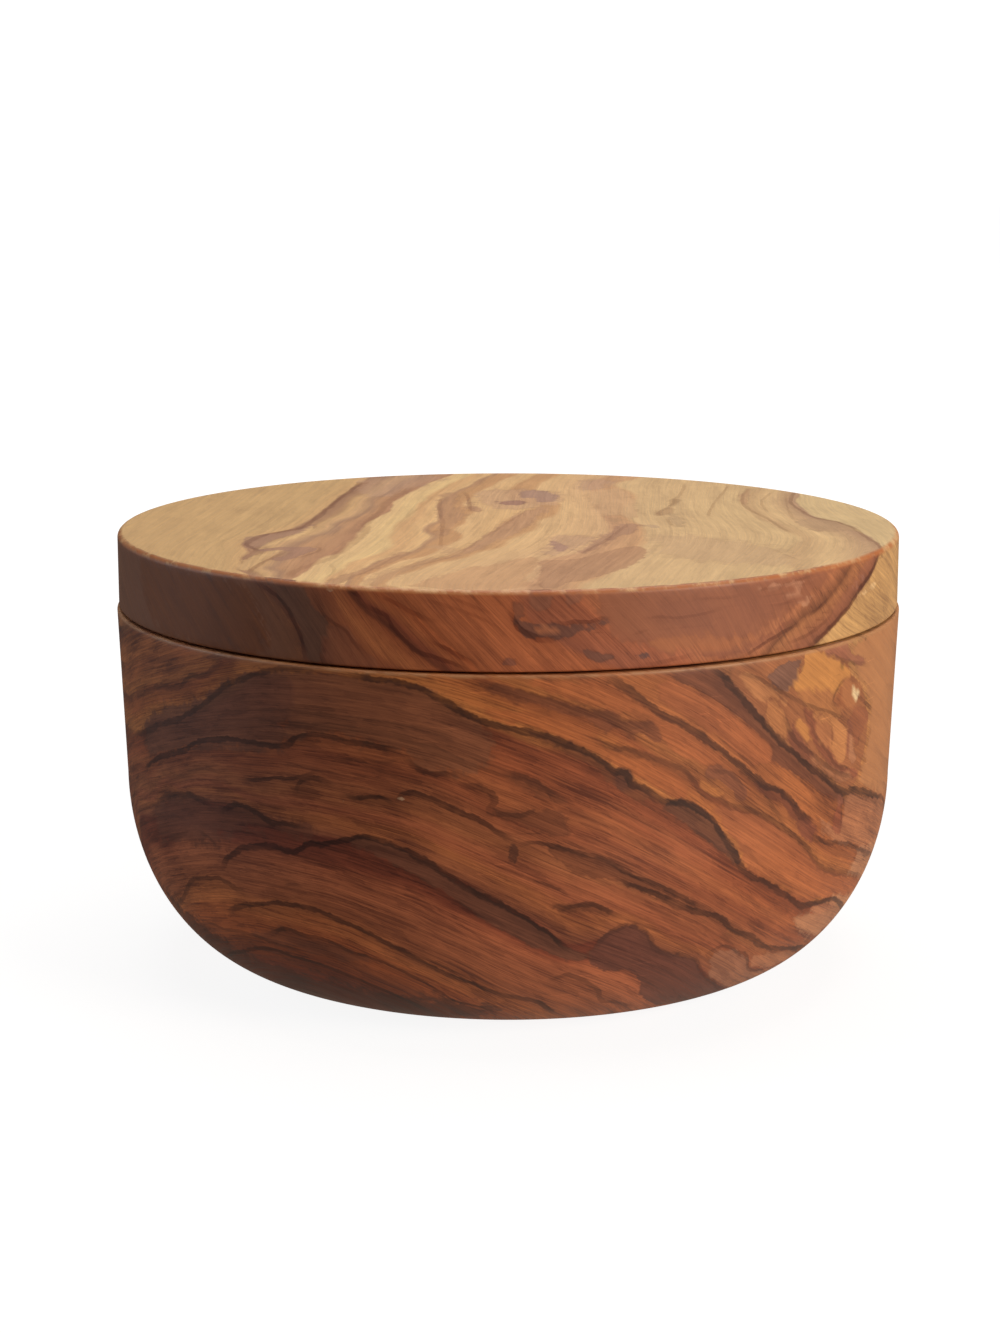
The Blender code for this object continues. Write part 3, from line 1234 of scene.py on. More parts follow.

# The wood's figure, in real sizes. A point has two numbers, which stand
# together: on the side the degrees round from the front and the mm above the base, on the top the mm to
# the right and to the back.

BOWL_VEINS = (
    Vein(1, (-70,3, -55,7.2, -44,10.6, -35,11.3, -25,9.5, -16,4.8)),
    Vein(2, (-60,12, -44,13.7, -36,15, -28,15.7, -20,13, -10,7.5, -1,3.5)),
    Vein(3, (-75,10, -60,15.2, -53,20, -45,22.2, -37,20.5, -25,19.3, -15,14.9, -5,10.2, 3,6.6, 7,4)),
    Vein(4, (5,10, 9,11.9, 14,8.6, 18,5.5, 25,2.8)),
    Vein(5, (-72,17, -56,23.5, -43,27, -35,28.8, -25,27, -15,25.2, -5,21, 5,15.9, 9,13.7)),
    Vein(6, (-70,27, -58,31.8, -50,33.7, -41,34, -35,32.3, -25,31.9, -15,31, -6,26, 0,22.5, 8,16.4, 12,17.6,
        18,18.8, 22,14.2, 29,11.8, 34,6.8, 42,3.5)),
    Vein(7, (1,28.5, 7,25, 10,22.9, 14,21.8, 18,19.9, 22,16.9, 28,14, 35,12.6, 40,10, 45,6.5, 55,4)),
    Vein(8, (-74,27, -62,32.6, -52,35.5, -40,37, -30,39.6, -24,39, -18,37.8, -13.5,39, -8,37.2, -2,33.9,
        2,31.9, 8,30.7, 15,27.6, 20,24.1, 26,20.7, 32,17.4, 38,14.4, 45,10.7, 56,7.6, 64,6)),
    Vein(9, (-74,31, -63,35, -55,39, -46,42.4, -34,43.3, -29.5,45.3, -20,45.3, -12.5,43, -6,40.3, 0,37.2,
        8,34.5, 17,29.5, 27,24.3, 37,19.8, 48,13.7, 64,9.5)),
    Vein(10, (-76,39, -60,43.6, -50,46, -44,49.5, -36,53.8, -24,55, -13,54.1, -7,50.9, 0,48.3, 9,45.4,
        14,41.7, 19,38.6, 26,33.9, 31,30, 35,25, 42,20.8, 50,16.9, 60,14.7, 72,10)),
    Vein(11, (-70,43.5, -60,47.2, -52,49.4, -46,51.9, -40,55.6, 2,53.4, 10,50.2, 16,46.8, 20,43.4, 25.5,39.6,
        31,35.3, 38,32.4, 45,27.3, 50,22.8, 58,19.3, 72,15.5)),
    Vein(12, (12,56, 16,52.6, 20,49.4, 26,45.2, 32,41, 38,37, 44,33.2, 50,27.6, 57,24.4, 64,21.8, 76,18)),
    Vein(13, (28.5,55, 32,51.3, 36,46.6, 41,42.3, 47,37.7, 53,33.8, 60,32, 68,30.3, 74,28)),
    Vein(14, (37,55, 41,49.8, 45,45, 49,41, 53,37.3, 60,35, 74,33)),
    Vein(15, (47,55, 54,52.5, 60,50, 76,45)),
)

BOWL_STRANDS = (
    Strand(0.8, 0.7, (-57,6, -50,8.6, -42,11.3, -39,12.1, -36,11.6, -30,11.1, -25,9.7, -22,8.5, -17,6.2,
        -15,4.9, -13,3)),
    Strand(0.55, 0.6, (-55,12.8, -52,13.3, -49,12.9, -42,14, -36,13, -31,12.7)),
    Strand(0.75, 0.6, (-38.5,14.4, -33.5,16.6, -31,15.6, -28.5,16, -25.5,15.1, -23.3,13.9, -20,13.5,
        -14,10.9, -10.3,7.9, -9,6.4, -4.5,5.4, -0.5,3)),
    Strand(0.75, 0.7, (-66,12, -62,13.9, -57.5,16.2, -54,19.4, -52,20.4, -47,21.8, -44.5,22.1, -41,20.9,
        -39,20.6)),
    Strand(0.95, 0.75, (-46,16.4, -44,17.3, -42.5,18.4, -35,20.3, -29,20.6, -27,20.2, -20,17.8, -13,14.1,
        -9,11.5, -7,11, -1.5,8.1, 4,7, 6,5.9, 8.5,3)),
    Strand(0.6, 0.5, (-13.2,14.5, -11,13.9, -6,11)),
    Strand(0.6, 0.8, (5.2,10.3, 8,11.7, 9.3,11.8, 14.8,8.1, 14.6,7, 15.3,6, 16.5,5.6, 18,5.6, 23,3)),
    Strand(0.5, 0.6, (-33,23.2, -31,23.8, -29.2,23.6)),
    Strand(1.0, 0.8, (-44.8,23.2, -43.6,25.2, -42,26.6, -40,27.7, -36,29, -32,28.9, -30.5,28.4, -28.3,30.3,
        -26,30.4, -22,31.7, -18,32.3, -12,29.9, -10,28.9, -5,25.3, 0.5,22.6, 6,18.3, 8,16.3, 9.5,15.4)),
    Strand(0.45, 0.6, (-20,29.4, -16,28.6, -12,26.7, -8,24.1, -2,19.9)),
    Strand(0.75, 0.9, (-61,30, -58.5,31.8, -51,33.8, -45.5,33.4, -44.3,32.9)),
    Strand(0.85, 0.8, (-44.6,31.8, -41.5,33.8, -39.5,34.1, -37.5,33.8, -34.5,32.4, -29,32.6, -27.6,31.8)),
    Strand(0.4, 0.5, (-50,28.6, -47,28.2, -45,27, -43.5,27.2)),
    Strand(0.35, 0.6, (-58,34, -54,35.6, -48.5,36.9)),
    Strand(0.4, 0.6, (-53,36.9, -48,37.6, -46,38.4, -44,38.2, -41,38.6)),
    Strand(0.85, 0.55, (-40,37.4, -33.5,39, -31,39.1, -27.8,40.1, -26.6,40.9, -25.6,40.8)),
    Strand(0.9, 0.7, (-30.3,36.5, -29.8,38.2, -28.8,39.5, -27,39.9, -25,39.7, -23.4,39.1)),
    Strand(0.95, 0.65, (-23.2,37.9, -21,37.6, -17.8,38.1, -16.3,37.8, -15.1,37.1, -14.8,36.6)),
    Strand(1.0, 0.7, (-15.3,36.9, -14.7,38.3, -13.6,39, -12.4,39.2, -5,36.1, -3,35, 1.2,31.9)),
    Strand(0.85, 0.6, (0.8,31.6, 2,32.1, 4,32.3, 10,30.3, 12,30, 13.5,29.2, 16.5,26.7, 20.5,25.2, 26.5,21.4,
        28.5,20.4)),
    Strand(0.95, 0.9, (14,26.6, 20,24, 26,20.7, 30,19.3, 31.5,18.4, 34.5,15.8, 38.5,14.3, 41.5,12.1, 44,11,
        52,8.8, 58,7.4, 64,6)),
    Strand(0.6, 0.5, (2.5,27, 7.8,24.9, 8.3,23.8)),
    Strand(0.75, 0.8, (5.4,22.7, 8.6,22.7, 10,23.1, 11.8,22.9, 16,20.4)),
    Strand(0.5, 0.7, (11.8,15.2, 12.4,17, 15,19.1, 17,19.5, 20,17.8, 20.9,16.3, 21.4,14.4, 26,13.5,
        29.6,11.7, 31.8,8.7, 39,4.4, 42,3)),
    Strand(0.6, 0.55, (30.2,12.1, 31.5,13.1, 33,13.5, 34.5,13.2, 37.5,11.5, 39,11, 40.2,10.1, 42.2,7.6,
        44,6.7, 51,5)),
    Strand(0.7, 0.7, (-7.5,40.6, -3.6,40.2, -1.8,39.1, -1.3,38, -2.6,36.3, -1.4,36.4, 1.6,35.9, 2.6,36.6,
        4.2,36.4)),
    Strand(0.9, 0.9, (-13.6,44.6, -13,43.4, -11.8,42.2, -10.5,41.7, -8.6,42, -7,41.6, -6,40.9)),
    Strand(0.9, 0.75, (-66,33.6, -62,36, -58,38, -51,40, -49.8,41.1, -47.5,42.2, -43,43.3, -40,43.6,
        -31.6,43.6, -30,45.2, -27,46.2, -25,46.2, -21,45.5, -13.7,44.9)),
    Strand(0.5, 0.6, (-24.5,42, -22.5,43, -20.5,43.1, -18.5,42.6, -16.6,41.6, -14,41.2)),
    Strand(0.35, 0.9, (-38,47, -33,47.7, -28,47.3, -22,47.7, -17,47.4, -12.5,46.5, -6,43.5, -3,42.5)),
    Strand(0.75, 0.9, (-1.5,42.4, 2.5,41.5, 8.5,37.3)),
    Strand(0.3, 0.8, (-37,48.4, -31,48.9, -24,49.1, -16,48.7, -10,48, -6,46.6)),
    Strand(0.8, 0.8, (-70,38.5, -64,40.3, -59,42.3, -53,44.3, -50.5,45.3, -44,49.2, -41,51.7, -33,54.6,
        -30,55.2, -26,55.3)),
    Strand(0.6, 0.8, (-68,44.4, -60,47.4, -58.5,48.3, -53,49, -51,49.7, -49.4,51.4, -46,51.8, -44.6,52.6,
        -42,55)),
    Strand(0.3, 0.7, (-60,51.5, -57,52.3, -51,54.6)),
    Strand(1.0, 0.9, (-22,55.1, -14,54.5, -10,53.3, -7,51.2, -3.2,49.3, -0.8,48.5, 1,48.5, 6,47, 12,43.7,
        14.4,41.8, 15.7,41.8, 16.4,41, 16.4,39.9, 18,39.7, 21,37, 24.5,36.8, 27.5,34.7, 29,33, 33,27.7,
        33.8,26, 35,24.6, 40,22, 47,17.6, 49,16.8, 57,16.1, 60,15.1, 67,12.2, 72,10)),
    Strand(0.5, 0.45, (-2,48.1, 0,47.8, 4.2,46)),
    Strand(0.5, 0.6, (14.5,38.4, 17,37.8, 22,34.9, 27,31.6, 33.4,26)),
    Strand(0.5, 1.1, (-5,54.9, -2,54.3, 4,52.7, 6.5,51.6, 13,49.9, 14.6,48.9, 16.4,48.5, 18.4,48.5,
        19.6,47.6, 20.2,46)),
    Strand(0.55, 0.8, (9.5,47.4, 14,45.2, 16.5,44.8, 23,41.9, 24.6,40.8, 26.2,38, 30.5,35.6, 35,34.1,
        41,30.7, 47,26.2, 49.4,23.5, 51,22.4, 56,20.5, 64,18.2, 70,16.4)),
    Strand(0.5, 0.6, (26.5,41, 30.6,40.2, 32.3,39, 33.6,37.4, 33.8,35.6)),
    Strand(1.0, 0.95, (12,55.3, 13.6,54.9, 15.2,53.9, 20,49.8, 23.5,48.1, 28.5,44.4, 33,40.5, 36,38.6,
        37,37.4, 40,36.2, 42.6,34.4, 45,31.4, 48,30)),
    Strand(0.5, 0.7, (36.6,36.6, 40.6,31.8, 42,30.6)),
    Strand(0.75, 0.8, (46.8,28.4, 48.4,27.4, 54,25.5, 58,24.5, 64,21.9, 68,20.6, 73,19)),
    Strand(1.0, 0.9, (27,55.4, 29.3,54.3, 32,51.4, 36.6,46.3, 39.6,43.5, 46,38.6, 50,36.3, 54.6,33,
        56.5,33.1, 59,32.7, 66,30.3, 73,28)),
    Strand(0.5, 0.5, (55.2,32, 54.8,31, 55.1,27.2)),
    Strand(0.55, 0.5, (31,54.6, 35.4,53, 39,50.6, 46,47.2, 52,45.2, 54.8,43.6)),
    Strand(0.55, 0.7, (39.8,48, 41.6,44.4, 43,42.8, 44.6,41.6, 50.5,37.6, 52.5,36.5, 58,34.8)),
    Strand(0.5, 0.6, (45.6,46, 46.2,44, 47.4,42.4, 50.6,39.6, 51.8,38, 53.4,37, 55.6,36.6, 57.4,35.8)),
    Strand(0.55, 0.45, (54.6,50, 52.8,49.6, 51.4,48.5, 50.6,47.2, 51.4,46.6, 52.8,46.4)),
    Strand(0.35, 0.6, (47,55, 49.5,54.4, 54.5,52.4, 62,50.8)),
    Strand(0.5, 0.4, (-72,51.6, -68,53.4, -64,54.8, -61,55.3)),
    Strand(0.4, 0.4, (-19.8,43.2, -17,42.9, -15,43.2, -13.8,44.2)),
    Strand(0.45, 0.4, (-12.6,46.6, -9.4,45.6, -6.6,43.9, -3.4,42.6, 0,41.4, 3,40.6)),
    Strand(0.5, 0.35, (55,32.3, 58,32.2, 62,30.9, 66,29, 71,27.4)),
)

BOWL_ZONES = (
    # Painted light: this pale zone lightens the lower right of the bowl, as light thrown up from the right
    # would.
    Patch("#c08c6a", 0.65, 2.0, (48,15.4, 53,15.2, 58,15.4, 61,20, 67,24, 86,24, 88,8, 78,7, 66,8, 56,9.4,
        50,12.6)),
    Patch("#9d623f", 0.9, 0.5, (29.6,55.6, 31.5,52, 36.6,46.5, 39.6,43.7, 46,38.8, 50,36.5, 54.6,33.2, 58,33,
        60.5,36, 62,40, 61.5,43.5, 60,46.5, 57.5,49, 55,50.4, 53,55.6), calm=0.4),
    Patch("#b57d53", 0.9, 1.4, (54,56, 56.5,50.4, 59.4,48.6, 61.6,46, 63,43, 62.6,39.5, 60,33, 64,31.6,
        72,28.8, 80,27.6, 88,30, 97,38, 91,43, 99,48, 88,51, 92,56), calm=0.75),
    Patch("#aa623b", 0.85, 0.6, (20.5,54.6, 23.6,53.4, 29.5,49.8, 32,47.5, 37,43.9, 38.5,41.9, 37.8,40.6,
        36,40, 34.2,40.6, 31,43, 24.6,48.2, 21.6,49.8, 19,52.2)),
    Patch("#a9623d", 0.8, 0.6, (27.4,36, 34,33.8, 41,30, 47,25.6, 49.2,23.2, 51,21.8, 55,20.2, 60,18.9,
        66,17.2, 74,14, 66,13.6, 60,15.7, 54,17, 50,17, 47,18.2, 41,22, 35.2,25.2, 33.2,28.4, 29.4,33.6)),
    Patch("#a97050", 0.8, 0.9, (49,30.4, 51,29.2, 55,27.6, 55.4,31.6, 57,32.5, 62,31, 66,29.6, 74,27.2,
        84,22.4, 76,20.6, 66,21.6, 60,23.8, 54,25.7, 49.6,27.2)),
    Patch("#b86a3e", 0.7, 0.8, (1,54.8, 8,52.2, 14,50.6, 19.8,48.6, 21.6,44.2, 24,42.6, 26.6,41.6, 30.4,41,
        28,43.6, 25,46.2, 18.5,50.4, 16,52.8, 13,54.8)),
    Patch("#b16439", 0.7, 0.8, (5,50, 9,49, 11.6,47.6, 12.6,45.8, 15,44.2, 18,43.4, 23.6,40.4, 25,38.4,
        24,37.2, 21.4,37.2, 18,40, 16.8,40.4, 16,41.8, 13.5,43, 6,47.3, 1,48.8, -2.4,49.4, -3,51)),
    Patch("#aa6140", 0.6, 0.8, (7.8,27.2, 10,26.4, 13,25.8, 20,23, 24,21, 31.5,17.6, 33.5,15.6, 31,14.6,
        27,15.2, 23.5,16.6, 20.5,18.6, 17,20.4, 13.5,23.2, 10,24.2)),
    Patch("#b0785c", 0.8, 1.0, (31,11.8, 33,13, 38.6,10.8, 43,6.8, 47,5.6, 54,4.6, 62,5, 70,6, 64,1, 44,2.6,
        37,6.4, 34,7.6, 32,9.4)),
    # Painted shade: this dark zone darkens the lower left of the bowl, near the floor, which the lamps light
    # least.
    Patch("#573328", 0.7, 3.0, (-68,14, -60,13.6, -50,9.4, -44,8.8, -36,8.4, -28,7.4, -18,7, -8,6.6, 0,4,
        -14,0.5, -40,0.5, -68,0.5)),
    Patch("#8a563c", 0.8, 1.2, (-34,54.4, -28,54.9, -20,54.6, -12,53.4, -7,50.8, -3,48.6, -1,44.6, -5,41,
        -11,42.8, -14.5,44.9, -20,45.6, -26,46, -30,45.2, -34,45.6)),
    Patch("#7b4d3a", 0.8, 1.4, (-64,42.6, -56,45.2, -50,46.6, -45.6,48.8, -42,51.4, -37.6,53.6, -31,54.8,
        -29,52, -31,47, -30.6,43.6, -36,42.4, -46,41.6, -55,38.8, -64,35.8)),
)

BOWL_PATCHES = (
    Patch("#834c37", 0.85, 0.4, (41.6,46.4, 42.3,45, 43.2,43.4, 44.2,42.2, 45.6,41, 47.2,39.6, 46,39.2,
        44,40.5, 42.2,42, 41,43.1, 41.3,44.8)),
    Patch("#8a4f38", 0.85, 0.4, (43.4,47.2, 45,47.4, 46.6,46.2, 47.2,45, 47.1,43.4, 47.9,41.8, 49.5,40.7,
        50.7,40.2, 51.4,38.8, 52.9,37.3, 55,36.3, 57.6,35.6, 60,34.9, 57,34.4, 54,35.5, 51.4,37.3, 49,39.1,
        46.9,40.9, 45.8,42.4, 45.4,44, 44.6,45.6)),
    Patch("#8f5640", 0.75, 0.4, (54.6,43.6, 55.1,42, 54.9,40.2, 55.5,38.5, 57,37, 58,37.2, 56.8,38.6,
        56.2,40, 56.6,41.6, 57.6,43, 56,43.8)),
    Patch("#7d4a36", 0.75, 1.6, (-62,30, -56,32.2, -50,33.6, -45,33, -38,33.6, -34,32.4, -28.5,32.2, -28,31,
        -34,30.9, -38,30.4, -42,29, -45,26.8, -50,26.2, -56,25, -62,24.5)),
    Patch("#8f553d", 0.6, 1.0, (-42,13.4, -37.5,15.2, -33.5,16.5, -31,15.5, -28,15.9, -25,14.9, -23.3,13.8,
        -19,13.2, -25,11.9, -28,12.5, -33,12.6, -38,12.6)),
    Patch("#784a38", 0.9, 0.5, (-22,31.5, -18,31.9, -10,28.7, -4,24.7, 2,21.3, 8.2,16.3, 9.7,15.3, 11.3,15.2,
        11.2,13.9, 9,14, 7,14.7, 1,17.9, -5,21.8, -11,26, -14,27.7, -18,29.3, -22,30.2)),
    Patch("#724337", 0.9, 0.5, (11.3,14.6, 12.3,16.8, 15,18.9, 17,19.2, 18.6,18.5, 20,17.4, 21,15.6, 22.4,14,
        26,13.2, 29.6,11.2, 32.2,8.1, 36.5,5.6, 43,2, 34,1.5, 28,2.6, 24,4.4, 21.5,6.6, 20.4,9.4, 18.5,11.4,
        15,11.6, 12.8,12.6)),
    Patch("#7c462d", 0.85, 0.5, (5.4,31.8, 10,30.1, 12,29.8, 14,28.6, 15.4,27, 22,24, 26,21.4, 30,19.2,
        28,19.6, 24,21.5, 20,23.6, 13.4,26.5, 12,26.2, 8.3,27.6, 5.8,29.8)),
    Patch("#62392a", 0.85, 0.4, (0,31.9, 1.3,31.6, 1.1,29.2, -0.2,29)),
    Patch("#7a452d", 0.75, 0.6, (-2.6,36.6, -1,37.2, 1,36.4, 5,36.8, 7.4,36.2, 8,34.5, 7.6,32.6, 5.6,32.4,
        1.6,34.8, -0.6,35.5)),
    Patch("#804a30", 0.5, 0.7, (0.5,42, 2,41.8, 8.6,37.4, 7,36.8, -0.5,40.6)),
    Patch("#7c472e", 0.7, 0.6, (5.5,23, 8.6,22.8, 10,23.2, 12,22.9, 15.8,20.5, 13,20.9, 11,21.8, 7,21.8)),
    Patch("#895032", 0.8, 0.9, (1,48.2, 6,46.9, 12,43.6, 14.4,41.6, 16.2,41.4, 16.6,39.8, 18.4,39.2,
        20.4,37.4, 20,36, 15.6,38.6, 10,43, 4,46.2)),
    Patch("#6b402f", 0.85, 0.4, (13.8,42, 15.8,42, 16.6,41.1, 16.5,39.9, 15.8,38.6, 14.6,39, 13.7,40.6)),
    Patch("#70432f", 0.9, 0.5, (20.4,37, 25,36.5, 28.6,33.4, 33,27.6, 33.4,25.8, 30,28.6, 26,32.2, 21,35.4)),
    Patch("#87492f", 0.65, 0.8, (33.8,25.6, 36,24, 42,20.8, 45,18.7, 49,16.7, 54,16.3, 58,15.6, 54,14.6,
        49,15, 45,17, 41,19.8, 34.6,24)),
    Patch("#8a4f33", 0.8, 0.6, (-4,54.6, 4,52.6, 8,51.2, 13,49.9, 14.6,48.9, 16.4,48.4, 18.4,48.4, 19.5,47.6,
        20.4,45.4, 19.6,45, 18.8,46.8, 17.2,47.2, 16.3,46.2, 15.3,47.4, 13.8,48.2, 12.6,46.8, 11.4,48.6,
        9,49.8, 5,50.8, -3,53.4)),
    Patch("#8f522f", 0.7, 0.5, (12,46.2, 14,45.2, 16.5,44.8, 22,42.3, 24.4,40.9, 25.4,39.2, 24.4,39, 23,40.6,
        18,43, 13,44.8)),
    Patch("#c17a42", 0.85, 0.4, (25.9,39.4, 27.6,39.1, 31,36.5, 29,36.5, 27.2,37.3)),
    Patch("#8a5239", 0.8, 0.5, (27,41.2, 29,41, 31,40.2, 32.6,38.8, 33.8,37, 33.8,35.4, 32,35.6, 31.4,37.2,
        30,38.4, 26.4,39.8)),
    Patch("#77452f", 0.9, 0.5, (21,55.6, 28.4,55.4, 33,50.2, 36.6,46.4, 39.6,43.5, 43,40.8, 50,36.3, 54.8,33,
        54.4,31.6, 52,32.4, 46,35.8, 41,39, 37.9,40.9, 38.5,42, 37,43.9, 32,47.5, 29.5,49.9, 26,52.1,
        22.6,53.6)),
    Patch("#985c45", 0.85, 0.4, (53.9,32.6, 55.2,32.3, 55,29.5, 55.3,26.7, 52.2,28, 53.1,29.8)),
    Patch("#80462f", 0.85, 0.5, (34.6,38.6, 38.6,36.2, 40,36, 41.6,35, 45.2,31.2, 48.2,29.8, 48.8,27.6,
        48,26.9, 43.2,30.4, 40.8,34, 36.6,35.6)),
    Patch("#b47748", 0.85, 0.5, (42.4,50.4, 44,51.4, 50,50.6, 52.6,48.6, 50.6,46.8, 53.4,44.9, 52.4,44.1,
        48,46, 45.5,46.5, 43.8,47.9), calm=0.5),
    Patch("#b97a4b", 0.9, 0.4, (37.3,49.7, 38.6,49.4, 39.1,48.2, 40.2,47.4, 40.4,46.2, 41.1,45.4, 41.4,44.1,
        40.6,43.3, 39.8,44.1, 39.1,43.9, 37.1,46.1, 36.7,47.6), calm=0.5),
    Patch("#ba7d50", 0.8, 0.5, (31.4,54.2, 33.4,53.7, 40,49.6, 41,48, 40,48.3, 38.8,49.8, 37.4,49.9, 36.4,49,
        32.8,52.2), calm=0.4),
    Patch("#c08149", 0.9, 0.4, (42,46.1, 43.1,45.6, 43.7,46.1, 44.4,44.8, 45.2,44.4, 45.3,43.5, 45.9,43,
        45.5,42, 44.1,42.7, 43.6,43.7, 42.8,43.9), calm=0.5),
    Patch("#b1734a", 0.85, 0.4, (46.8,45.2, 49.4,44.5, 50.6,43.6, 50.4,42.9, 51,42.2, 50.8,40.8, 49.9,40.2,
        47.7,41.7, 46.9,43.5), calm=0.5),
    Patch("#bf8150", 0.9, 0.4, (45.8,46, 50.2,44.9, 54.6,43, 55.1,41.8, 54.8,40, 55.1,38.4, 54.1,37.3,
        53,37.9, 51.5,39.4, 51,40.4, 51.3,41.6, 51,43.6, 47.6,44.9), calm=0.5),
    Patch("#b27a58", 0.8, 0.3, (55.7,42.6, 56.2,42.3, 56.3,41, 56.9,40.4, 57,39.2, 57.8,38.4, 58.6,36.8,
        56.6,37, 55.7,38.8, 56.1,39.8, 55.7,41), calm=0.5),
    Patch("#a9704e", 0.75, 0.5, (45,40.6, 52,36.7, 54.2,35.7, 56,35.5, 58,34.6, 54,34, 51.6,35.4,
        45.4,39.6), calm=0.3),
    Patch("#c88a4d", 0.95, 0.4, (44.4,55.8, 46.9,55.2, 49.2,53.9, 53,52.5, 53.7,51.7, 54.6,51.4, 55.6,50.4,
        52.9,49.5, 51.8,48.8, 51.1,47.8, 49.2,49, 47,49.6, 45.4,49.5, 44,50.3, 42.8,50.1, 41.3,50.6,
        42.2,51.3, 42.5,52.5, 43.3,53, 43.5,54.2), calm=0.6),
    Patch("#7c5647", 0.95, 0.3, (36,53, 37,53.3, 37.8,53, 38.5,54.2, 39.6,54.3, 40.4,54.9, 41.6,54.4,
        42.4,54.9, 43.2,54, 41.7,51.1, 41,51, 40.4,49.9), calm=0.4),
    Patch("#98604a", 0.85, 0.4, (46.8,55.8, 48.2,54.5, 54.6,52, 59.4,51, 60.6,51.4, 58.4,52.4, 56.6,52.7,
        54.8,53.6, 53.8,54.8, 53.4,55.8), calm=0.4),
    Patch("#7a4534", 0.8, 0.3, (41.4,44.6, 42.1,44.8, 42.5,43.9, 43.3,43.5, 43.6,42.6, 44.6,41.9, 43.2,41.2,
        42,42, 41.5,43.2)),
    Patch("#965a3c", 0.85, 0.5, (56.3,44.9, 58,45.2, 60.4,44.6, 62,43.4, 61.8,42.4, 60.4,41.6, 60.2,40.8,
        59.2,40.2, 58.8,38.9, 57.8,38.7, 57.6,39.9, 56.9,41, 56.8,42.3, 55.9,43.3), calm=0.5),
    Patch("#ad7047", 0.85, 0.4, (50.5,46.7, 51,48, 53,49.6, 54.4,49.8, 57.6,48.7, 59,47.2, 58.8,46, 54.4,45,
        52.4,45.7, 51.5,46.5), calm=0.6),
    Patch("#9b5d39", 0.7, 0.4, (50.4,46.8, 51.1,48.1, 52,48.9, 53,49.1, 52.4,48.1, 54.8,45.2, 52.6,45.8,
        51.6,46.5), calm=0.5),
    Patch("#8c6a36", 0.8, 0.25, (52.1,51.9, 53,52, 53.3,51.6, 52.4,51.4)),
    Patch("#ecd2a4", 0.95, 0.2, (55.7,48.4, 58.7,46.9, 56.6,45.7, 56.3,46.5, 55.7,46.6, 56,47.4)),
    Patch("#5d4020", 1.0, 0.15, (56.3,46.8, 56.8,46.9, 57,46.4, 56.6,46.2)),
    Patch("#e3c3a0", 0.7, 0.2, (-13.9,48.5, -13.4,48.5, -13.3,48.1, -13.8,48.1)),
    Patch("#d9b795", 0.7, 0.25, (-15.1,44.7, -14,44.8, -14,44.4, -15,44.2)),
    Patch("#d9b795", 0.7, 0.25, (-14.9,37.8, -13.8,37.9, -14,37.5, -14.8,37.4)),
    Patch("#d9b795", 0.6, 0.2, (-23.1,36.9, -22.5,36.9, -22.5,36.5, -23.1,36.5)),
    Patch("#844836", 0.75, 0.7, (43.4,31.6, 46,30.8, 47.6,29.8, 48.4,28, 47.8,27, 46.2,27.6, 44.8,28.8)),
    Patch("#8f4c36", 0.7, 0.6, (52.2,29.2, 53.4,30.8, 54.6,31.6, 55.1,29.6, 55.2,27, 53.4,26.7, 52,27.8)),
    Patch("#c88560", 0.6, 0.7, (50,15.9, 54,16.1, 58,15.1, 61,13.6, 58,13.1, 53.6,14)),
    Patch("#c98a66", 0.55, 0.7, (41.4,10, 45,9.4, 50,8.2, 56,6.8, 60,5.8, 54,5, 48,5.9, 43.4,7.2, 42,8.6)),
)

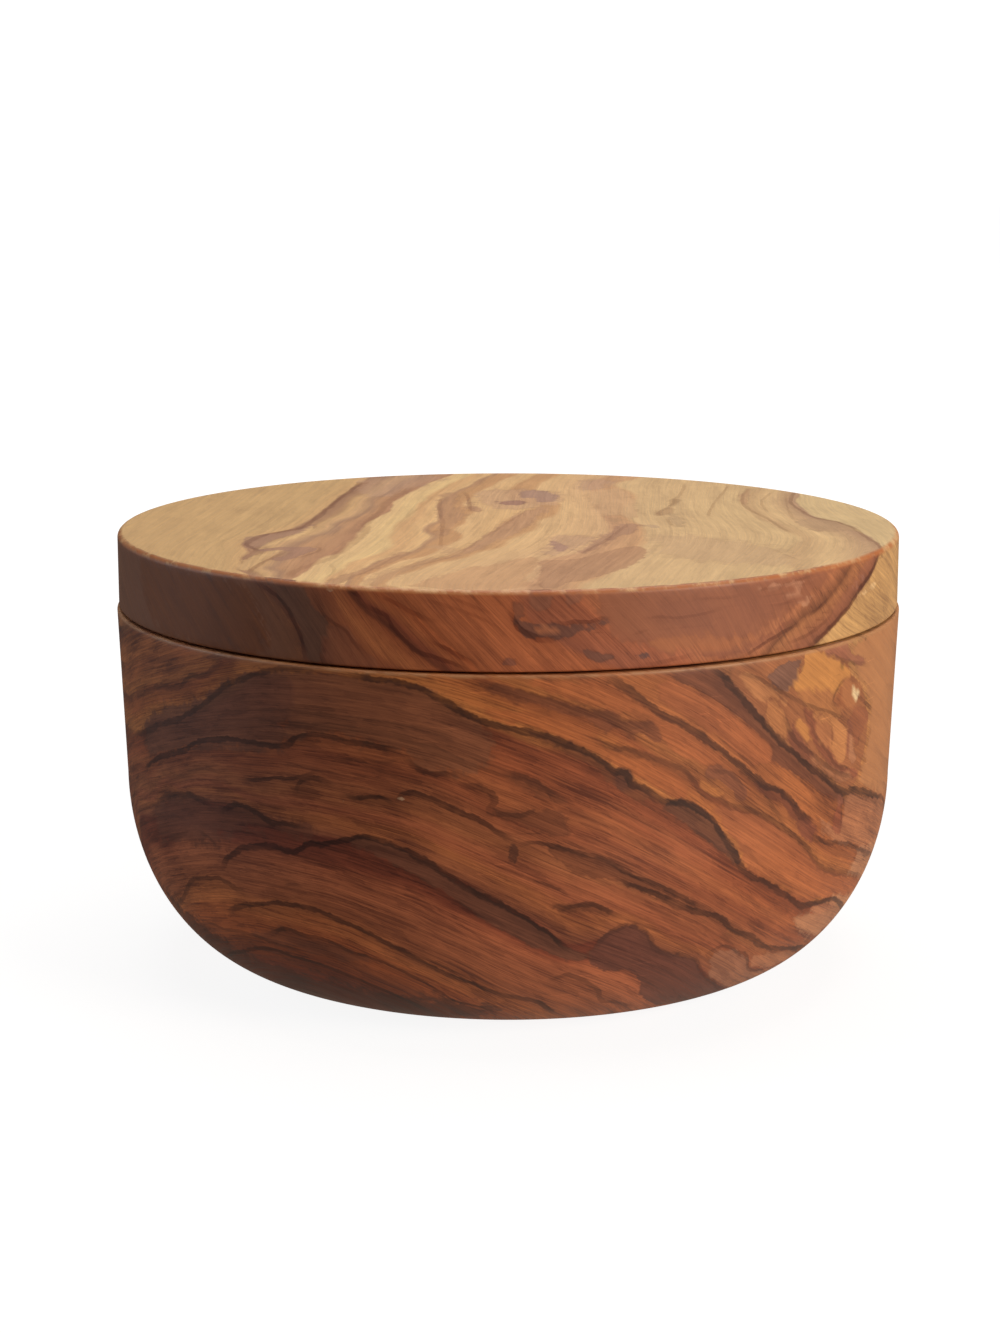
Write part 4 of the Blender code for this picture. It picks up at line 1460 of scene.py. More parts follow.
LID_VEINS = (
    Vein(0, (-25.3,48, -26.6,35, -28.6,20, -30.6,4, -32.5,-4, -37,-11, -39.6,-19, -37.6,-27, -37.2,-39,
        -36.4,-44.5), TOP),
    Vein(0, (-36,66.6, -32,64.6, -29.3,62, -27.9,58, -27.6,56)),
    Vein(1, (-28.8,-1, -31.5,-11.5, -36,-23, -35.8,-34, -36.3,-40), TOP),
    Vein(2, (-28,0, -30.5,-12, -32.4,-23, -33.2,-32, -35.6,-42), TOP),
    Vein(3, (-9.8,56, -14.5,41, -18.8,26, -19.8,10, -21.5,-2, -21.7,-14, -23.8,-28, -27.5,-39,
        -30,-50), TOP),
    Vein(3, (-29.8,66.8, -27.2,64, -25,60, -25,56)),
    Vein(4, (-8.5,52, -10.5,40, -12.5,26, -14.8,11, -16.8,0, -18,-13, -19.5,-30, -23,-45, -25,-52), TOP),
    Vein(4, (-24.5,67, -22,63, -20,59.3, -16.5,57, -15,56)),
    Vein(5, (-7.5,40, -10,30, -10.7,14, -10.3,2, -10.2,-12, -13,-24, -16.5,-31, -20,-41, -22.2,-52), TOP),
    Vein(5, (-21.5,66.8, -19.5,65, -16,63, -13.8,60, -10.5,57.9, -7,56)),
    Vein(6, (-5,36, -8.3,22, -7.3,6, -9.4,-6, -9,-20, -12.5,-32, -18.5,-44, -20.3,-52), TOP),
    Vein(7, (6,20, 2.5,9, -1.5,-5, -5,-21, -8.5,-30, -14.5,-40, -19.3,-54), TOP),
    Vein(7, (-18.3,66.8, -13,64.8, -10,62, -8,59.2, -4.7,57, -4,56)),
    Vein(8, (8,22, 5,5, 0,-15, -4.5,-27, -10,-36, -16,-47, -18,-55), TOP),
    Vein(9, (12,8, 9,-13, 6,-24, 0.5,-35, -8,-49, -11,-56), TOP),
    Vein(9, (-10,66.8, -5,64.4, -1.5,61.9, 1,59, 5,56)),
    Vein(10, (14,45, 14,18, 15.8,-2, 14.5,-15, 11,-27, 5.5,-33.5, 4,-50, 3.5,-58), TOP),
    Vein(10, (2.9,66.8, 0.8,64.5, 1,62, 5,60.6, 10,58.3, 15,56.4)),
    Vein(11, (18,45, 18.3,10, 21,-3, 20.2,-20, 18.3,-33, 14,-45, 9.6,-56), TOP),
    Vein(11, (9.6,66.8, 11,63.5, 15,60.3, 22,57.2, 26,56)),
    Vein(12, (31,50, 29.5,37, 27.8,25, 25.5,17.5, 23.8,10.5, 25.3,2, 26.2,-6), TOP),
    Vein(13, (38,44, 35.3,35, 33.3,25, 31.5,14, 31.6,6, 33.6,-2), TOP),
    Vein(14, (42,44, 39.5,33, 37.7,22, 38.8,12, 40.8,1, 42.8,-9, 44,-14), TOP),
    Vein(14, (42,66.8, 38,63, 36,60, 34,57.5, 32,55.8)),
    Vein(15, (45,36, 41.8,26, 41.6,15, 42.3,10), TOP),
    Vein(16, (46.5,34, 44.6,20, 44.7,5, 48,-6, 51,-16, 50.3,-32), TOP),
    Vein(16, (57,66.8, 51,63.4, 47,61.6, 42,59.4, 37,57.6, 32.5,56)),
    Vein(17, (48.5,36, 46.4,25, 47.1,14, 48.8,5, 52,1, 53.6,-9, 54.7,-20, 54.6,-24), TOP),
    Vein(17, (65,66.8, 61.5,64.2, 58,62.7, 55,60.7, 52,59.2, 48.5,57.2, 45.5,55.8)),
)

LID_STRANDS = (
    Strand(0.85, 0.6, (-36,66.8, -33,65.5, -31,64.1, -29.8,62.7, -28.1,59.5, -27.5,55.8)),
    Strand(0.6, 0.5, (-26.6,66.6, -25.2,63.4, -24.2,62.2, -21.4,61, -20.9,59.8, -18.4,57.6, -17.6,56.2)),
    Strand(0.9, 0.5, (-21.8,66.9, -20.4,66.4, -19.4,65.6, -19.2,65)),
    Strand(0.85, 0.55, (-20,65.2, -16.6,63.8, -15.5,63, -15.2,61.7, -11.8,58.5, -9.6,58.1, -5.6,56.6,
        -4.4,55.8)),
    Strand(0.75, 0.55, (-18,66.9, -13.5,64.5, -10.2,63, -9,62.8)),
    Strand(0.85, 0.6, (-10.9,60.9, -9.6,59.9, -4.8,57.6, -3.8,56.6)),
    Strand(0.35, 0.4, (-12,66.3, -6,64.4, -3.6,63.5, -0.6,61.6)),
    Strand(0.35, 0.4, (-9,66.6, -6.4,65.8, -1.6,63.8)),
    Strand(1.0, 0.75, (0.2,65.2, 1,62.2, 3.4,60.9, 5,60.6, 6.8,60.7)),
    Strand(0.8, 0.5, (5.2,63, 6.8,62.6, 8.4,63, 10.4,62.7, 12,63.4, 13.4,63.1)),
    Strand(0.5, 0.45, (17,56.4, 23,57.1, 25.8,57.8)),
    Strand(0.75, 0.5, (31.5,56.1, 34,56.8, 38,58.6, 43.4,60)),
    Strand(0.75, 0.4, (44.2,60.4, 49.2,62.4, 48.6,63)),
    Strand(0.5, 0.5, (39.5,57, 46,58.2, 50.4,60.4)),
    Strand(0.3, 0.4, (17,62.8, 20,63, 22,62.6, 26,62.8, 30,63.6)),
    Strand(0.3, 0.3, (24,64.8, 26.4,65, 30,64.7, 33,65.1)),
    Strand(0.4, 0.3, (34,64.9, 36,65.5, 39,65.3, 42,66, 46,66.4)),
    Strand(0.3, 0.3, (16,60.7, 17.6,61, 18.6,61.4)),
    Strand(0.3, 0.35, (36.6,63.2, 39,62.8, 41,63.2, 43,63)),
    Strand(1.0, 0.7, (65.2,67, 62,64.3, 57.5,62.3, 54.6,60.2, 51,58.5, 45.2,55.7)),
    Strand(0.6, 0.8, (-36.5,-46, -36.3,-42, -35.4,-37, -33.3,-29, -33.2,-26.4, -31.6,-25.6), TOP),
    Strand(0.64, 0.9, (-37.2,-28, -37,-25, -38.6,-22, -39.3,-18, -38.4,-14, -37,-10.4, -34.4,-6.9, -32,-4.4,
        -31.4,-1, -30.6,5, -29.8,12, -28.8,20, -28,27, -26.8,36, -25.9,42, -25.5,49), TOP),
    Strand(0.44, 0.5, (-30.3,-33, -29.4,-30, -27.9,-27, -27.6,-24, -28.6,-22.4, -29.8,-23), TOP),
    Strand(0.36, 1.2, (-15.5,42, -16.5,36, -18,30, -19,24, -19.5,18, -20.1,11, -20.9,6, -21.6,0, -21.1,-5,
        -21.6,-10, -22.2,-17, -23.1,-23, -24.4,-30, -25.6,-35, -27.6,-39, -29.6,-44, -30.2,-50), TOP),
    Strand(0.24, 0.5, (-9.5,46, -10.8,38, -12,30, -13.2,22, -14.6,14, -16,6, -17,0, -17.5,-7), TOP),
    Strand(0.4, 0.6, (-10.1,-23, -10.3,-16, -10.3,-8, -10.4,2, -10.9,10, -11.3,17, -11.4,23, -11,29), TOP),
    Strand(0.4, 0.6, (-6.2,12, -6.4,18, -6.5,24, -6.7,30, -7.6,36), TOP),
    Strand(0.28, 0.5, (-14.8,-41, -11,-36, -8,-31, -6.6,-26, -5,-18, -3,-10, -1,-2, 0.6,5, 2.6,13), TOP),
    Strand(0.32, 0.5, (-22.4,-50, -20,-44.5, -18.2,-38, -16.6,-32, -15.4,-28), TOP),
    Strand(0.28, 0.5, (-25.6,-50, -24.2,-44, -25.8,-37), TOP),
    Strand(0.36, 0.6, (9.9,-29.5, 11.8,-24, 13,-20, 14.8,-14.6, 16.2,-9, 17.6,-3, 18.6,1), TOP),
    Strand(0.44, 0.5, (25.1,6, 25.4,-1.4, 26.2,-3.6), TOP),
    Strand(0.36, 0.6, (24.6,7.6, 23.5,10, 24,13.4, 26.6,21, 27.2,27, 28.4,32, 29.4,39, 30,46), TOP),
    Strand(0.4, 0.45, (31.2,7, 31.9,13, 33,20, 34.2,27, 35.6,34, 37,41, 37.6,45), TOP),
    Strand(0.36, 0.6, (42.6,-9.4, 41.7,-4, 41.1,1, 40.2,7, 38.6,14, 38,19, 38,25, 38.9,32, 40.5,41), TOP),
    Strand(0.32, 0.5, (41.2,12, 41,18, 41.2,25, 42.8,31, 44.4,37), TOP),
    Strand(0.32, 0.4, (44.6,3, 44.4,9, 44.7,15, 45.2,22, 45.7,29, 46.3,35), TOP),
    Strand(0.6, 0.6, (48.6,37, 47.4,31, 46.4,25, 46.3,20, 47.1,14, 47.8,8.6, 48.9,5.6, 50.6,3.8, 51.7,1.4,
        53.6,-5, 53.7,-10, 54.2,-15, 54.9,-19, 54.9,-24, 54.1,-30), TOP),
    Strand(0.24, 0.5, (38.8,-24, 40,-29, 41.8,-35), TOP),
)

LID_ZONES = (
    # Painted shade: this dark, calm zone darkens the far left of the lid's side, which faces away from the
    # key light.
    Patch("#7d5139", 0.6, 2.5, (-37,67.2, -33,65, -30.6,62, -29,58, -28.6,55, -100,55, -96,61,
        -90,67.2), calm=0.6),
    Patch("#945b41", 0.7, 1.6, (11,67.2, 20,67.2, 36,67.2, 51,67.2, 47,64.5, 41,61.5, 33,58.6, 24,58,
        16,58.6, 11,63), calm=0.6),
    Patch("#c5a07b", 0.5, 3.0, (22,-10, 30,-13, 38,-20, 41,-30, 40,-40, 34,-38, 26,-34, 21,-28,
        22,-18), TOP),
    Patch("#caa07c", 0.7, 2.0, (-5.4,37, 0,39, 5,38.4, 9,34, 9.4,27, 7.6,21, 3,16.6, -1,15.6, -3.6,19,
        -4.8,27), TOP),
    Patch("#c79e7d", 0.7, 1.5, (7,-11.6, 12,-11.6, 13.2,-15, 11.2,-20, 9.4,-26, 7,-29, 3.8,-31.4, 5.8,-22,
        6.8,-16), TOP),
    Patch("#d2a97f", 0.8, 1.0, (13.6,38, 19.8,41, 20.8,25, 20.6,10, 19,5, 17.6,9, 14.8,8, 13.6,20), TOP),
    Patch("#bc957c", 0.5, 2.5, (-25,56, -24.6,46, -25.8,38, -24,32, -19.5,30, -16.4,38, -13.6,48,
        -10,56), TOP),
    # Painted shade: this dark, warm brown zone darkens the left of the lid's side, where it turns away from
    # the key light.
    Patch("#7c441a", 0.75, 2.0, (-64,67, -58,67, -48,66.6, -37,66.4, -34,61, -33,56, -44,55.8, -58,55.8,
        -63,61), calm=0.5),
)

LID_PATCHES = (
    Patch("#ab836a", 0.75, 0.6, (-39.8,-16, -38.6,-12, -35.6,-9.6, -32.6,-6.4, -29.6,0.8, -29.6,-5.6,
        -31.2,-9.6, -34,-14, -35.4,-18, -36.4,-22.4, -37.8,-24.6, -39,-21), TOP),
    Patch("#a67c66", 0.8, 0.5, (-34.6,-23, -31.8,-22.2, -28.4,-22.6, -28,-26, -29.6,-29, -30.6,-33,
        -33,-35.4, -34.2,-33.6, -32.2,-30, -31.4,-26.4, -33.6,-25.4, -36,-27.4, -36.6,-25), TOP),
    Patch("#c8986f", 0.6, 1.2, (-14,-58, -12,-51, -8,-45, -3,-39, 2,-33, 4.4,-31, 3.8,-36, 3,-46,
        2,-60), TOP),
    Patch("#6e4b3a", 0.85, 0.8, (-36,67.2, -29,67.2, -27.3,65, -27,63.4, -25,62.7, -23.8,61.4, -23.6,60.2,
        -25.2,59.2, -25.6,56, -27.9,56, -28,59.4, -30,63, -32,64.7)),
    Patch("#8f573e", 0.6, 0.8, (-24,61.6, -21.5,61, -20.6,59.5, -19,58.5, -17.4,56.6, -18,55.6, -24.6,55.6,
        -24.8,59)),
    Patch("#86503a", 0.8, 0.4, (0.4,65.5, 1.5,65.5, 2.1,64.6, 1.6,63.4, 0.6,63.5)),
    Patch("#6c463b", 0.85, 0.5, (0.4,63.8, 3.4,62.2, 5.6,62.6, 7,62.2, 8.5,62.7, 10.4,62.4, 12.2,63.2,
        13.4,62.8, 12.4,61.9, 10.5,61.1, 8.5,61.2, 7,60.4, 3,60.4, 1.2,61.2)),
    Patch("#b0704e", 0.75, 0.4, (3.4,62.4, 5.2,62.4, 6.6,61.6, 5.6,60.9, 3.6,61.3)),
    Patch("#8f5b45", 0.75, 0.5, (2.2,67.2, 6,67.2, 5.8,65.5, 5.1,64.3, 2.6,64.4)),
    Patch("#8f5b45", 0.7, 0.5, (7,67.2, 9.9,67.2, 9.3,65.6, 8.2,64.4, 6.6,64.5, 7,65.8)),
    Patch("#754b3d", 0.85, 0.4, (9.1,58.9, 11,58.5, 14.8,57.9, 11.6,56.7, 10,57.8)),
    Patch("#664640", 0.9, 0.35, (16,57.6, 17.3,58.2, 18.6,58, 18.7,57.1, 17,56.9)),
    Patch("#855242", 0.8, 0.35, (-1.1,57.3, 0.3,57.7, 2,57.3, 0.6,56.8, -0.9,56.7)),
    Patch("#7f4b38", 0.25, 1.3, (19,64, 22,65.4, 26,65, 28.6,63.6, 27,62.4, 28.4,61, 25,60.4, 22,61.4,
        20,61)),
    Patch("#86503b", 0.28, 1.3, (30,66.6, 34,66.4, 38,64.6, 42,64.4, 43.6,62.6, 40,62.2, 37,60.6, 33,61,
        32,63.6)),
    Patch("#b06c42", 0.6, 0.8, (18,59.8, 24,60, 30,59, 35,58.6, 33,57.4, 28,57.6, 22,58, 18.6,58.8)),
    Patch("#8a5038", 0.6, 0.4, (24,57.4, 28,57.3, 33,57.6, 41,60.4, 44,61.6, 41,59.6, 37,57.8, 33,56.6,
        28,56.7)),
    Patch("#9a6045", 0.5, 1.0, (50,60, 57,65, 61,67, 64.6,67, 62,64.6, 56,61.6, 53,59.6, 45.6,56.2, 42,56,
        46,58)),
    # Painted sheen: these five pale streaks on the right of the lid's side stand for the lamps' soft
    # reflection, painted into the colour.
    Patch("#c48f6e", 0.6, 0.5, (43,61.6, 45,62.4, 47.4,63.8, 45.4,63.6, 41.4,61.8)),
    Patch("#c08a6c", 0.55, 0.5, (34,65.5, 38,65.8, 44,65.6, 46,65, 41,65, 36,64.9)),
    Patch("#c08a6c", 0.5, 0.4, (38,63.6, 41,64.4, 44,64.6, 42,63.8, 39.4,63.3)),
    Patch("#bb8674", 0.5, 0.5, (55,63.4, 57,63.8, 59.6,64.6, 58.4,63.4, 56,62.8)),
    Patch("#dcb988", 0.7, 0.5, (56,61.2, 59,62, 62,62.6, 63.6,62.2, 57.4,61)),
    Patch("#d9b27e", 0.85, 0.7, (-29.8,-0.5, -29.2,-6, -30.6,-11, -33,-16.5, -34.8,-21, -36.2,-25, -36.6,-23,
        -35.2,-18, -33,-13, -31.2,-8, -30.6,-3), TOP),
    Patch("#d6ae7b", 0.85, 0.7, (-33.2,-25.4, -34,-30, -35.4,-36, -36.4,-42, -37.2,-44, -38.8,-41, -38,-36,
        -36.8,-31, -35,-27), TOP),
    Patch("#b98c69", 0.7, 1.2, (-11.2,27, -10.8,33, -9.6,36, -8,34, -8.3,26, -8,18, -7,11, -6.8,7, -8.2,1,
        -9.2,-6, -9.8,-13, -10.4,-12, -10.4,-3, -10.7,8, -11.4,18), TOP),
    Patch("#b48768", 0.75, 0.9, (-6.6,31, -6,24, -5.4,19.4, -3.8,17, -4.2,12.8, -5.8,12.2, -6.2,17,
        -6.5,24), TOP),
    Patch("#a68171", 0.8, 0.9, (3,38.4, 6.4,37.4, 7.8,33.6, 8.7,30, 7.7,26, 6,23, 4.4,24, 5.4,28, 3.8,29.6,
        2.4,28, 2,33.4), TOP),
    Patch("#a07565", 0.85, 0.8, (-1.9,24, 0,25.8, 2.6,25.8, 3,22.2, 1.6,19.8, -0.6,20.8), TOP),
    Patch("#c09370", 0.75, 1.0, (5,19, 6.2,20, 6.6,15, 5,8, 4,1, 2.2,-6, -0.4,-13.5, -2.6,-20, -4.4,-26,
        -7,-31, -10,-35.6, -14,-41, -12.6,-37, -9.6,-33, -7.6,-29, -6.2,-23, -4.6,-16, -2.6,-8, -0.8,-1, 1,6,
        2.8,13.6), TOP),
    Patch("#bb8e69", 0.75, 0.8, (-16.4,-27.6, -14.2,-26.8, -14.8,-32, -17.4,-38, -19.4,-43.6, -21.8,-50,
        -23.6,-56, -25.4,-54, -22.8,-47, -19.6,-40, -18,-34), TOP),
    Patch("#c59b74", 0.6, 1.4, (-12,-20, -10.6,-24, -8.6,-28.6, -10.6,-33, -14.6,-38.6, -18,-45, -20.4,-53,
        -18,-56, -15,-47, -12,-38, -8,-31.4, -6,-27, -8,-22), TOP),
    Patch("#b98b68", 0.85, 0.5, (4.4,-35.4, 6.4,-34.2, 8,-34.9, 10,-33.5, 14,-27, 16,-24.6, 17.6,-22,
        19.6,-22, 20.1,-27, 19.4,-31, 18,-37, 15.5,-43, 11.6,-50.4, 8,-53, 7,-58, 3.8,-58, 4.2,-50,
        4.5,-42), TOP),
    Patch("#b68a6e", 0.75, 0.9, (17.6,1, 20.4,0, 19.8,-8, 15.4,-15.6, 13.8,-20.4, 12.7,-25, 10.2,-29.4,
        10.8,-24, 12.2,-20, 13.8,-14, 15.4,-8, 16.8,-3), TOP),
    Patch("#ad8474", 0.75, 0.8, (6.2,-18, 7.6,-17.4, 8.8,-24, 8.2,-27, 6.6,-26), TOP),
    Patch("#b79579", 0.6, 0.8, (21.6,-0.8, 22.8,-1, 22.8,-4, 21.8,-3.8), TOP),
    Patch("#bd976f", 0.75, 0.8, (25.6,18.4, 24,13.4, 23.3,10, 24,8.2, 25,9.8, 26.6,13.6, 26.8,17), TOP),
    Patch("#bb9a75", 0.6, 1.0, (26,12, 27.4,8, 27.6,1, 26.6,-3, 25.4,0, 25.2,6), TOP),
    Patch("#b28e66", 0.65, 0.7, (26.6,28, 28.6,27, 27.6,21, 26.8,18.6, 26.2,20), TOP),
    Patch("#ba926d", 0.6, 1.0, (15.4,8, 18.4,5.6, 17.6,2, 16.4,-1, 15.4,2), TOP),
    Patch("#c29570", 0.55, 0.7, (38.4,20, 37.8,27, 39,35, 40.6,41, 41.4,38, 39.8,30, 39.2,24), TOP),
    Patch("#bb9773", 0.8, 1.0, (45,3, 46.8,7, 48.2,6.4, 50.4,3.4, 52,0.4, 53.2,-4, 53.3,-9, 51.6,-5, 50,-8.4,
        48,-8, 46,-5, 44.8,-1), TOP),
    Patch("#c19a7e", 0.6, 2.0, (11.4,37, 14.6,38.4, 17,41, 19.4,50, 13,52, 12.2,43), TOP),
)

BOWL_FIGURE = Figure(
    (
        (-1.0, "#804127"), (0.5, "#803c26"), (1.0, "#924b2d"), (1.6, "#a45a35"), (2.0, "#b4633a"),
        (2.6, "#c67747"), (3.2, "#a66140"), (4.2, "#ae6645"), (4.8, "#ac6242"), (5.1, "#8a4630"),
        (5.9, "#7a3c2b"), (6.05, "#93563b"), (6.6, "#ab663e"), (7.0, "#a05a3c"), (7.6, "#9f5f3c"),
        (8.05, "#9e5d3c"), (8.6, "#945134"), (9.05, "#a35e3a"), (9.6, "#954f31"), (9.9, "#8b492d"),
        (10.05, "#b4713f"), (10.5, "#ae6738"), (10.9, "#985331"), (11.1, "#a8673a"), (11.8, "#9c5934"),
        (12.1, "#ab663a"), (12.6, "#9f5d35"), (12.85, "#633021"), (13.02, "#9f653f"), (14.5, "#b07747"),
        (15.5, "#b38556"),
    ),
    -3.0,
    20.0,
)

# How dark each vein is.
BOWL_STRENGTHS = (
    (0, 0.4), (1, 0.75), (2, 0.85), (3, 0.8), (4, 0.6), (5, 0.25), (6, 0.8), (7, 0.6), (8, 0.85), (9, 0.85),
    (10, 1.0), (11, 0.75), (12, 0.8), (13, 1.0), (14, 0.6), (15, 0.35), (16, 0.5),
)

LID_STRENGTHS = (
    (-1, 0.0), (0, 0.8), (1, 0.1), (2, 0.6), (3, 0.5), (4, 0.35), (5, 0.7), (6, 0.3), (7, 0.4), (8, 0.3),
    (9, 0.15), (10, 0.5), (11, 0.3), (12, 0.5), (13, 0.5), (14, 0.5), (15, 0.35), (16, 0.5), (17, 0.9),
    (18, 0.0),
)

LID_TOP_FIGURE = Figure(
    (
        (-1.0, "#cba573"), (-0.04, "#d2a875"), (0.02, "#a67a5c"), (0.5, "#b08664"), (0.85, "#b88e66"),
        (1.05, "#cda474"), (1.5, "#d4a97a"), (2.0, "#ad8567"), (2.3, "#c1926a"), (2.96, "#b88865"),
        (3.03, "#deb885"), (3.9, "#e3c089"), (4.1, "#d7a978"), (4.9, "#e2b883"), (5.0, "#b38868"),
        (5.3, "#c8986a"), (5.95, "#ca996b"), (6.1, "#ddb482"), (6.9, "#dbb17e"), (7.1, "#c49569"),
        (7.9, "#ce9e6f"), (8.1, "#dfb785"), (9.9, "#d9af82"), (10.02, "#cb9c75"), (10.9, "#d0a175"),
        (11.03, "#d8b485"), (13.9, "#d6b484"), (14.2, "#cba67a"), (15.2, "#ddb988"), (16.1, "#c9a47b"),
        (16.95, "#bb9575"), (17.04, "#d5b788"),
    ),
    -6.0,
    20.0,
)

# The lid side's colours, ring by ring: partly its own redder heartwood and partly painted shade. They run
# darker than the top's for the same rings, most of all the sapwood below ring 0.
LID_SIDE_FIGURE_AND_SHADE = Figure(
    (
        (-1.0, "#855438"), (-0.03, "#8b583a"), (0.03, "#7d4d36"), (1.5, "#70422e"), (2.9, "#7e4932"),
        (3.1, "#91583b"), (4.0, "#985737"), (4.2, "#b36c42"), (4.9, "#995534"), (5.0, "#6d3924"),
        (5.6, "#85462f"), (6.1, "#a55f3a"), (6.9, "#b1623a"), (7.1, "#9a5634"), (7.9, "#ab623d"),
        (8.1, "#af6540"), (9.4, "#af643e"), (9.9, "#aa603b"), (10.05, "#96563d"), (10.9, "#ab6240"),
        (11.1, "#aa6743"), (12.5, "#9e5e3d"), (14.0, "#9f6242"), (15.4, "#ae6e49"), (15.95, "#7c4a2e"),
        (16.1, "#a86d45"), (16.7, "#925a3e"), (16.95, "#71422c"), (17.03, "#bf9663"),
    ),
    -6.0,
    20.0,
)


@dataclass
class Bowl(TurnedWood):
    """The hollow bowl, straight-sided above its rounded foot."""

    # These sizes are the CAD solid's.
    wall: float = 11.3 * MM
    floor: float = 10.0 * MM
    cavity_corner: float = 20.0 * MM
    mouth_round: float = 1.0 * MM
    rim_round: float = 0.4 * MM
    taper: float = 1.0 * MM
    shoulder_height: float = 29.8 * MM
    base_radius: float = 37.0 * MM

    def profile(self) -> list[Pair]:
        """Draw the half section of the bowl.

        Returns:
            Points (r, z) from the middle of the hollow's floor, over the rim, to the middle of the base.
        """
        radius, height = self.high.x, self.high.z
        shoulder = radius - self.taper
        cavity = radius - self.wall
        corner = (cavity - self.cavity_corner, self.floor + self.cavity_corner)
        mouth = (cavity + self.mouth_round, height - self.mouth_round)
        rim = (radius - self.rim_round, height - self.rim_round)
        foot_radii = (shoulder - self.base_radius, self.shoulder_height)
        hollow = [
            (0, self.floor),
            *arc(corner, (self.cavity_corner, self.cavity_corner), -90, 0, self.inner_step),
            *arc(mouth, (self.mouth_round, self.mouth_round), 180, 90, 0.3 * MM),
        ]
        outside = [
            *arc(rim, (self.rim_round, self.rim_round), 90, 0, 0.15 * MM),
            *arc((self.base_radius, self.shoulder_height), foot_radii, 0, -90, self.outer_step),
        ]
        base = [outside[-1], (0, 0)]
        hollow = fill_runs([*hollow, outside[0]], self.inner_step)
        return [*hollow, *fill_runs(outside, self.outer_step)[1:], *fill_runs(base, self.inner_step)[1:]]

    def radius_at(self, height: float) -> float:
        """Find the radius of the outer side.

        Args:
            height: the height above the base, in mm.

        Returns:
            The radius there, in mm.
        """
        radius, top = self.high.x, self.high.z
        shoulder = radius - self.taper
        if height * MM >= self.shoulder_height:
            share = (height * MM - self.shoulder_height) / (top - self.shoulder_height)
            return (shoulder + self.taper * share) / MM
        drop = 1 - height * MM / self.shoulder_height
        return (self.base_radius + (shoulder - self.base_radius) * math.sqrt(max(0.0, 1 - drop * drop))) / MM


@dataclass
class Lid(TurnedWood):
    """The flat lid, flush with the bowl, with a crisp top edge."""

    has_top: bool = True
    # These rounds are the CAD solid's.
    top_round: float = 0.8 * MM
    lower_round: float = 0.4 * MM

    def profile(self) -> list[Pair]:
        """Draw the half section of the lid.

        Returns:
            Points (r, z) from the middle of its top to the middle of its underside.
        """
        low, high = self.low, self.high
        top = (high.x - self.top_round, high.z - self.top_round)
        lower = (high.x - self.lower_round, low.z + self.lower_round)
        upper = [
            (0, high.z),
            *arc(top, (self.top_round, self.top_round), 90, 0, 0.2 * MM),
            *arc(lower, (self.lower_round, self.lower_round), 0, -90, 0.15 * MM),
        ]
        return [*fill_runs(upper, self.outer_step), *fill_runs([upper[-1], (0, low.z)], self.inner_step)[1:]]

    def radius_at(self, height: float) -> float:
        """Radius of the outer side, in mm, which is the same at every height."""
        return self.high.x / MM


@dataclass
class Disc(Part):
    """A round metal part with rounded ends: the pivot pin or one of the magnets."""

    end_round: float
    sides: int = 96
    end_step: float = 0.05 * MM

    def build(self) -> bpy.types.Object:
        """Turn the part in its place and dress it.

        Returns:
            The finished part, riding on its body.
        """
        low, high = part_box(self.node)
        radius = (high.y - low.y) / 2
        rounding = (self.end_round, self.end_round)
        profile = [
            (0, high.z),
            *arc((radius - self.end_round, high.z - self.end_round), rounding, 90, 0, self.end_step),
            *arc((radius - self.end_round, low.z + self.end_round), rounding, 0, -90, self.end_step),
            (0, low.z),
        ]
        return self.dress(settle(turn(self.name, profile, self.sides, (low.x + high.x) / 2)))


@dataclass
class Bores:
    """The holes that cross the seam: the pin's bore and the magnets' pocket, with eased mouths."""

    side_clearance: float = 0.1 * MM
    end_clearance: float = 0.3 * MM
    mouth: float = 0.3 * MM
    sides: int = 64

    def cutter(self, name: str, nodes: tuple[str, str], seam: Pair) -> bpy.types.Object:
        """Make the shape that cuts one hole.

        Args:
            name: the cutter's name.
            nodes: the nodes that the hole holds below and above the seam.
            seam: the heights of the bowl's rim and the lid's underside.

        Returns:
            The cutter, left out of renders.
        """
        low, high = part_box(nodes[0])[0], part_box(nodes[1])[1]
        radius = (high.y - low.y) / 2 + self.side_clearance
        below, above = seam
        profile = [
            (0, high.z + self.end_clearance),
            (radius, high.z + self.end_clearance),
            (radius, above + self.mouth),
            (radius + self.mouth, above),
            (radius + self.mouth, below),
            (radius, below - self.mouth),
            (radius, low.z - self.end_clearance),
            (0, low.z - self.end_clearance),
        ]
        cutter = turn(name, profile, self.sides, (low.x + high.x) / 2)
        cutter.hide_render = True
        return cutter

    def build(self) -> list[bpy.types.Object]:
        """Make both cutters.

        Returns:
            The pin's and the magnets' cutters.
        """
        seam = (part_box("bowl")[1].z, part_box("lid")[0].z)
        return [
            self.cutter("pin_bore", ("pivot_pin", "pivot_pin"), seam),
            self.cutter("magnet_pocket", ("bowl_magnet", "lid_magnet"), seam),
        ]


@dataclass
class SoftBox:
    """A square studio light with a diffuser, aimed at the middle of the box."""

    name: str
    place: tuple[float, float, float]
    size: float
    watts: float
    colour: str
    aim: tuple[float, float, float] = (0.0, 0.0, 0.04)

    def build(self) -> None:
        """Hang the light and turn it to its aim."""
        lamp = bpy.data.lights.new(self.name, "AREA")
        lamp.shape = "SQUARE"
        lamp.size = self.size
        lamp.energy = self.watts
        lamp.color = linear_colour(self.colour)[:3]
        holder = bpy.data.objects.new(self.name, lamp)
        bpy.context.scene.collection.objects.link(holder)
        holder.location = self.place
        toward = Vector(self.aim) - Vector(self.place)
        holder.rotation_euler = toward.to_track_quat("-Z", "Y").to_euler()


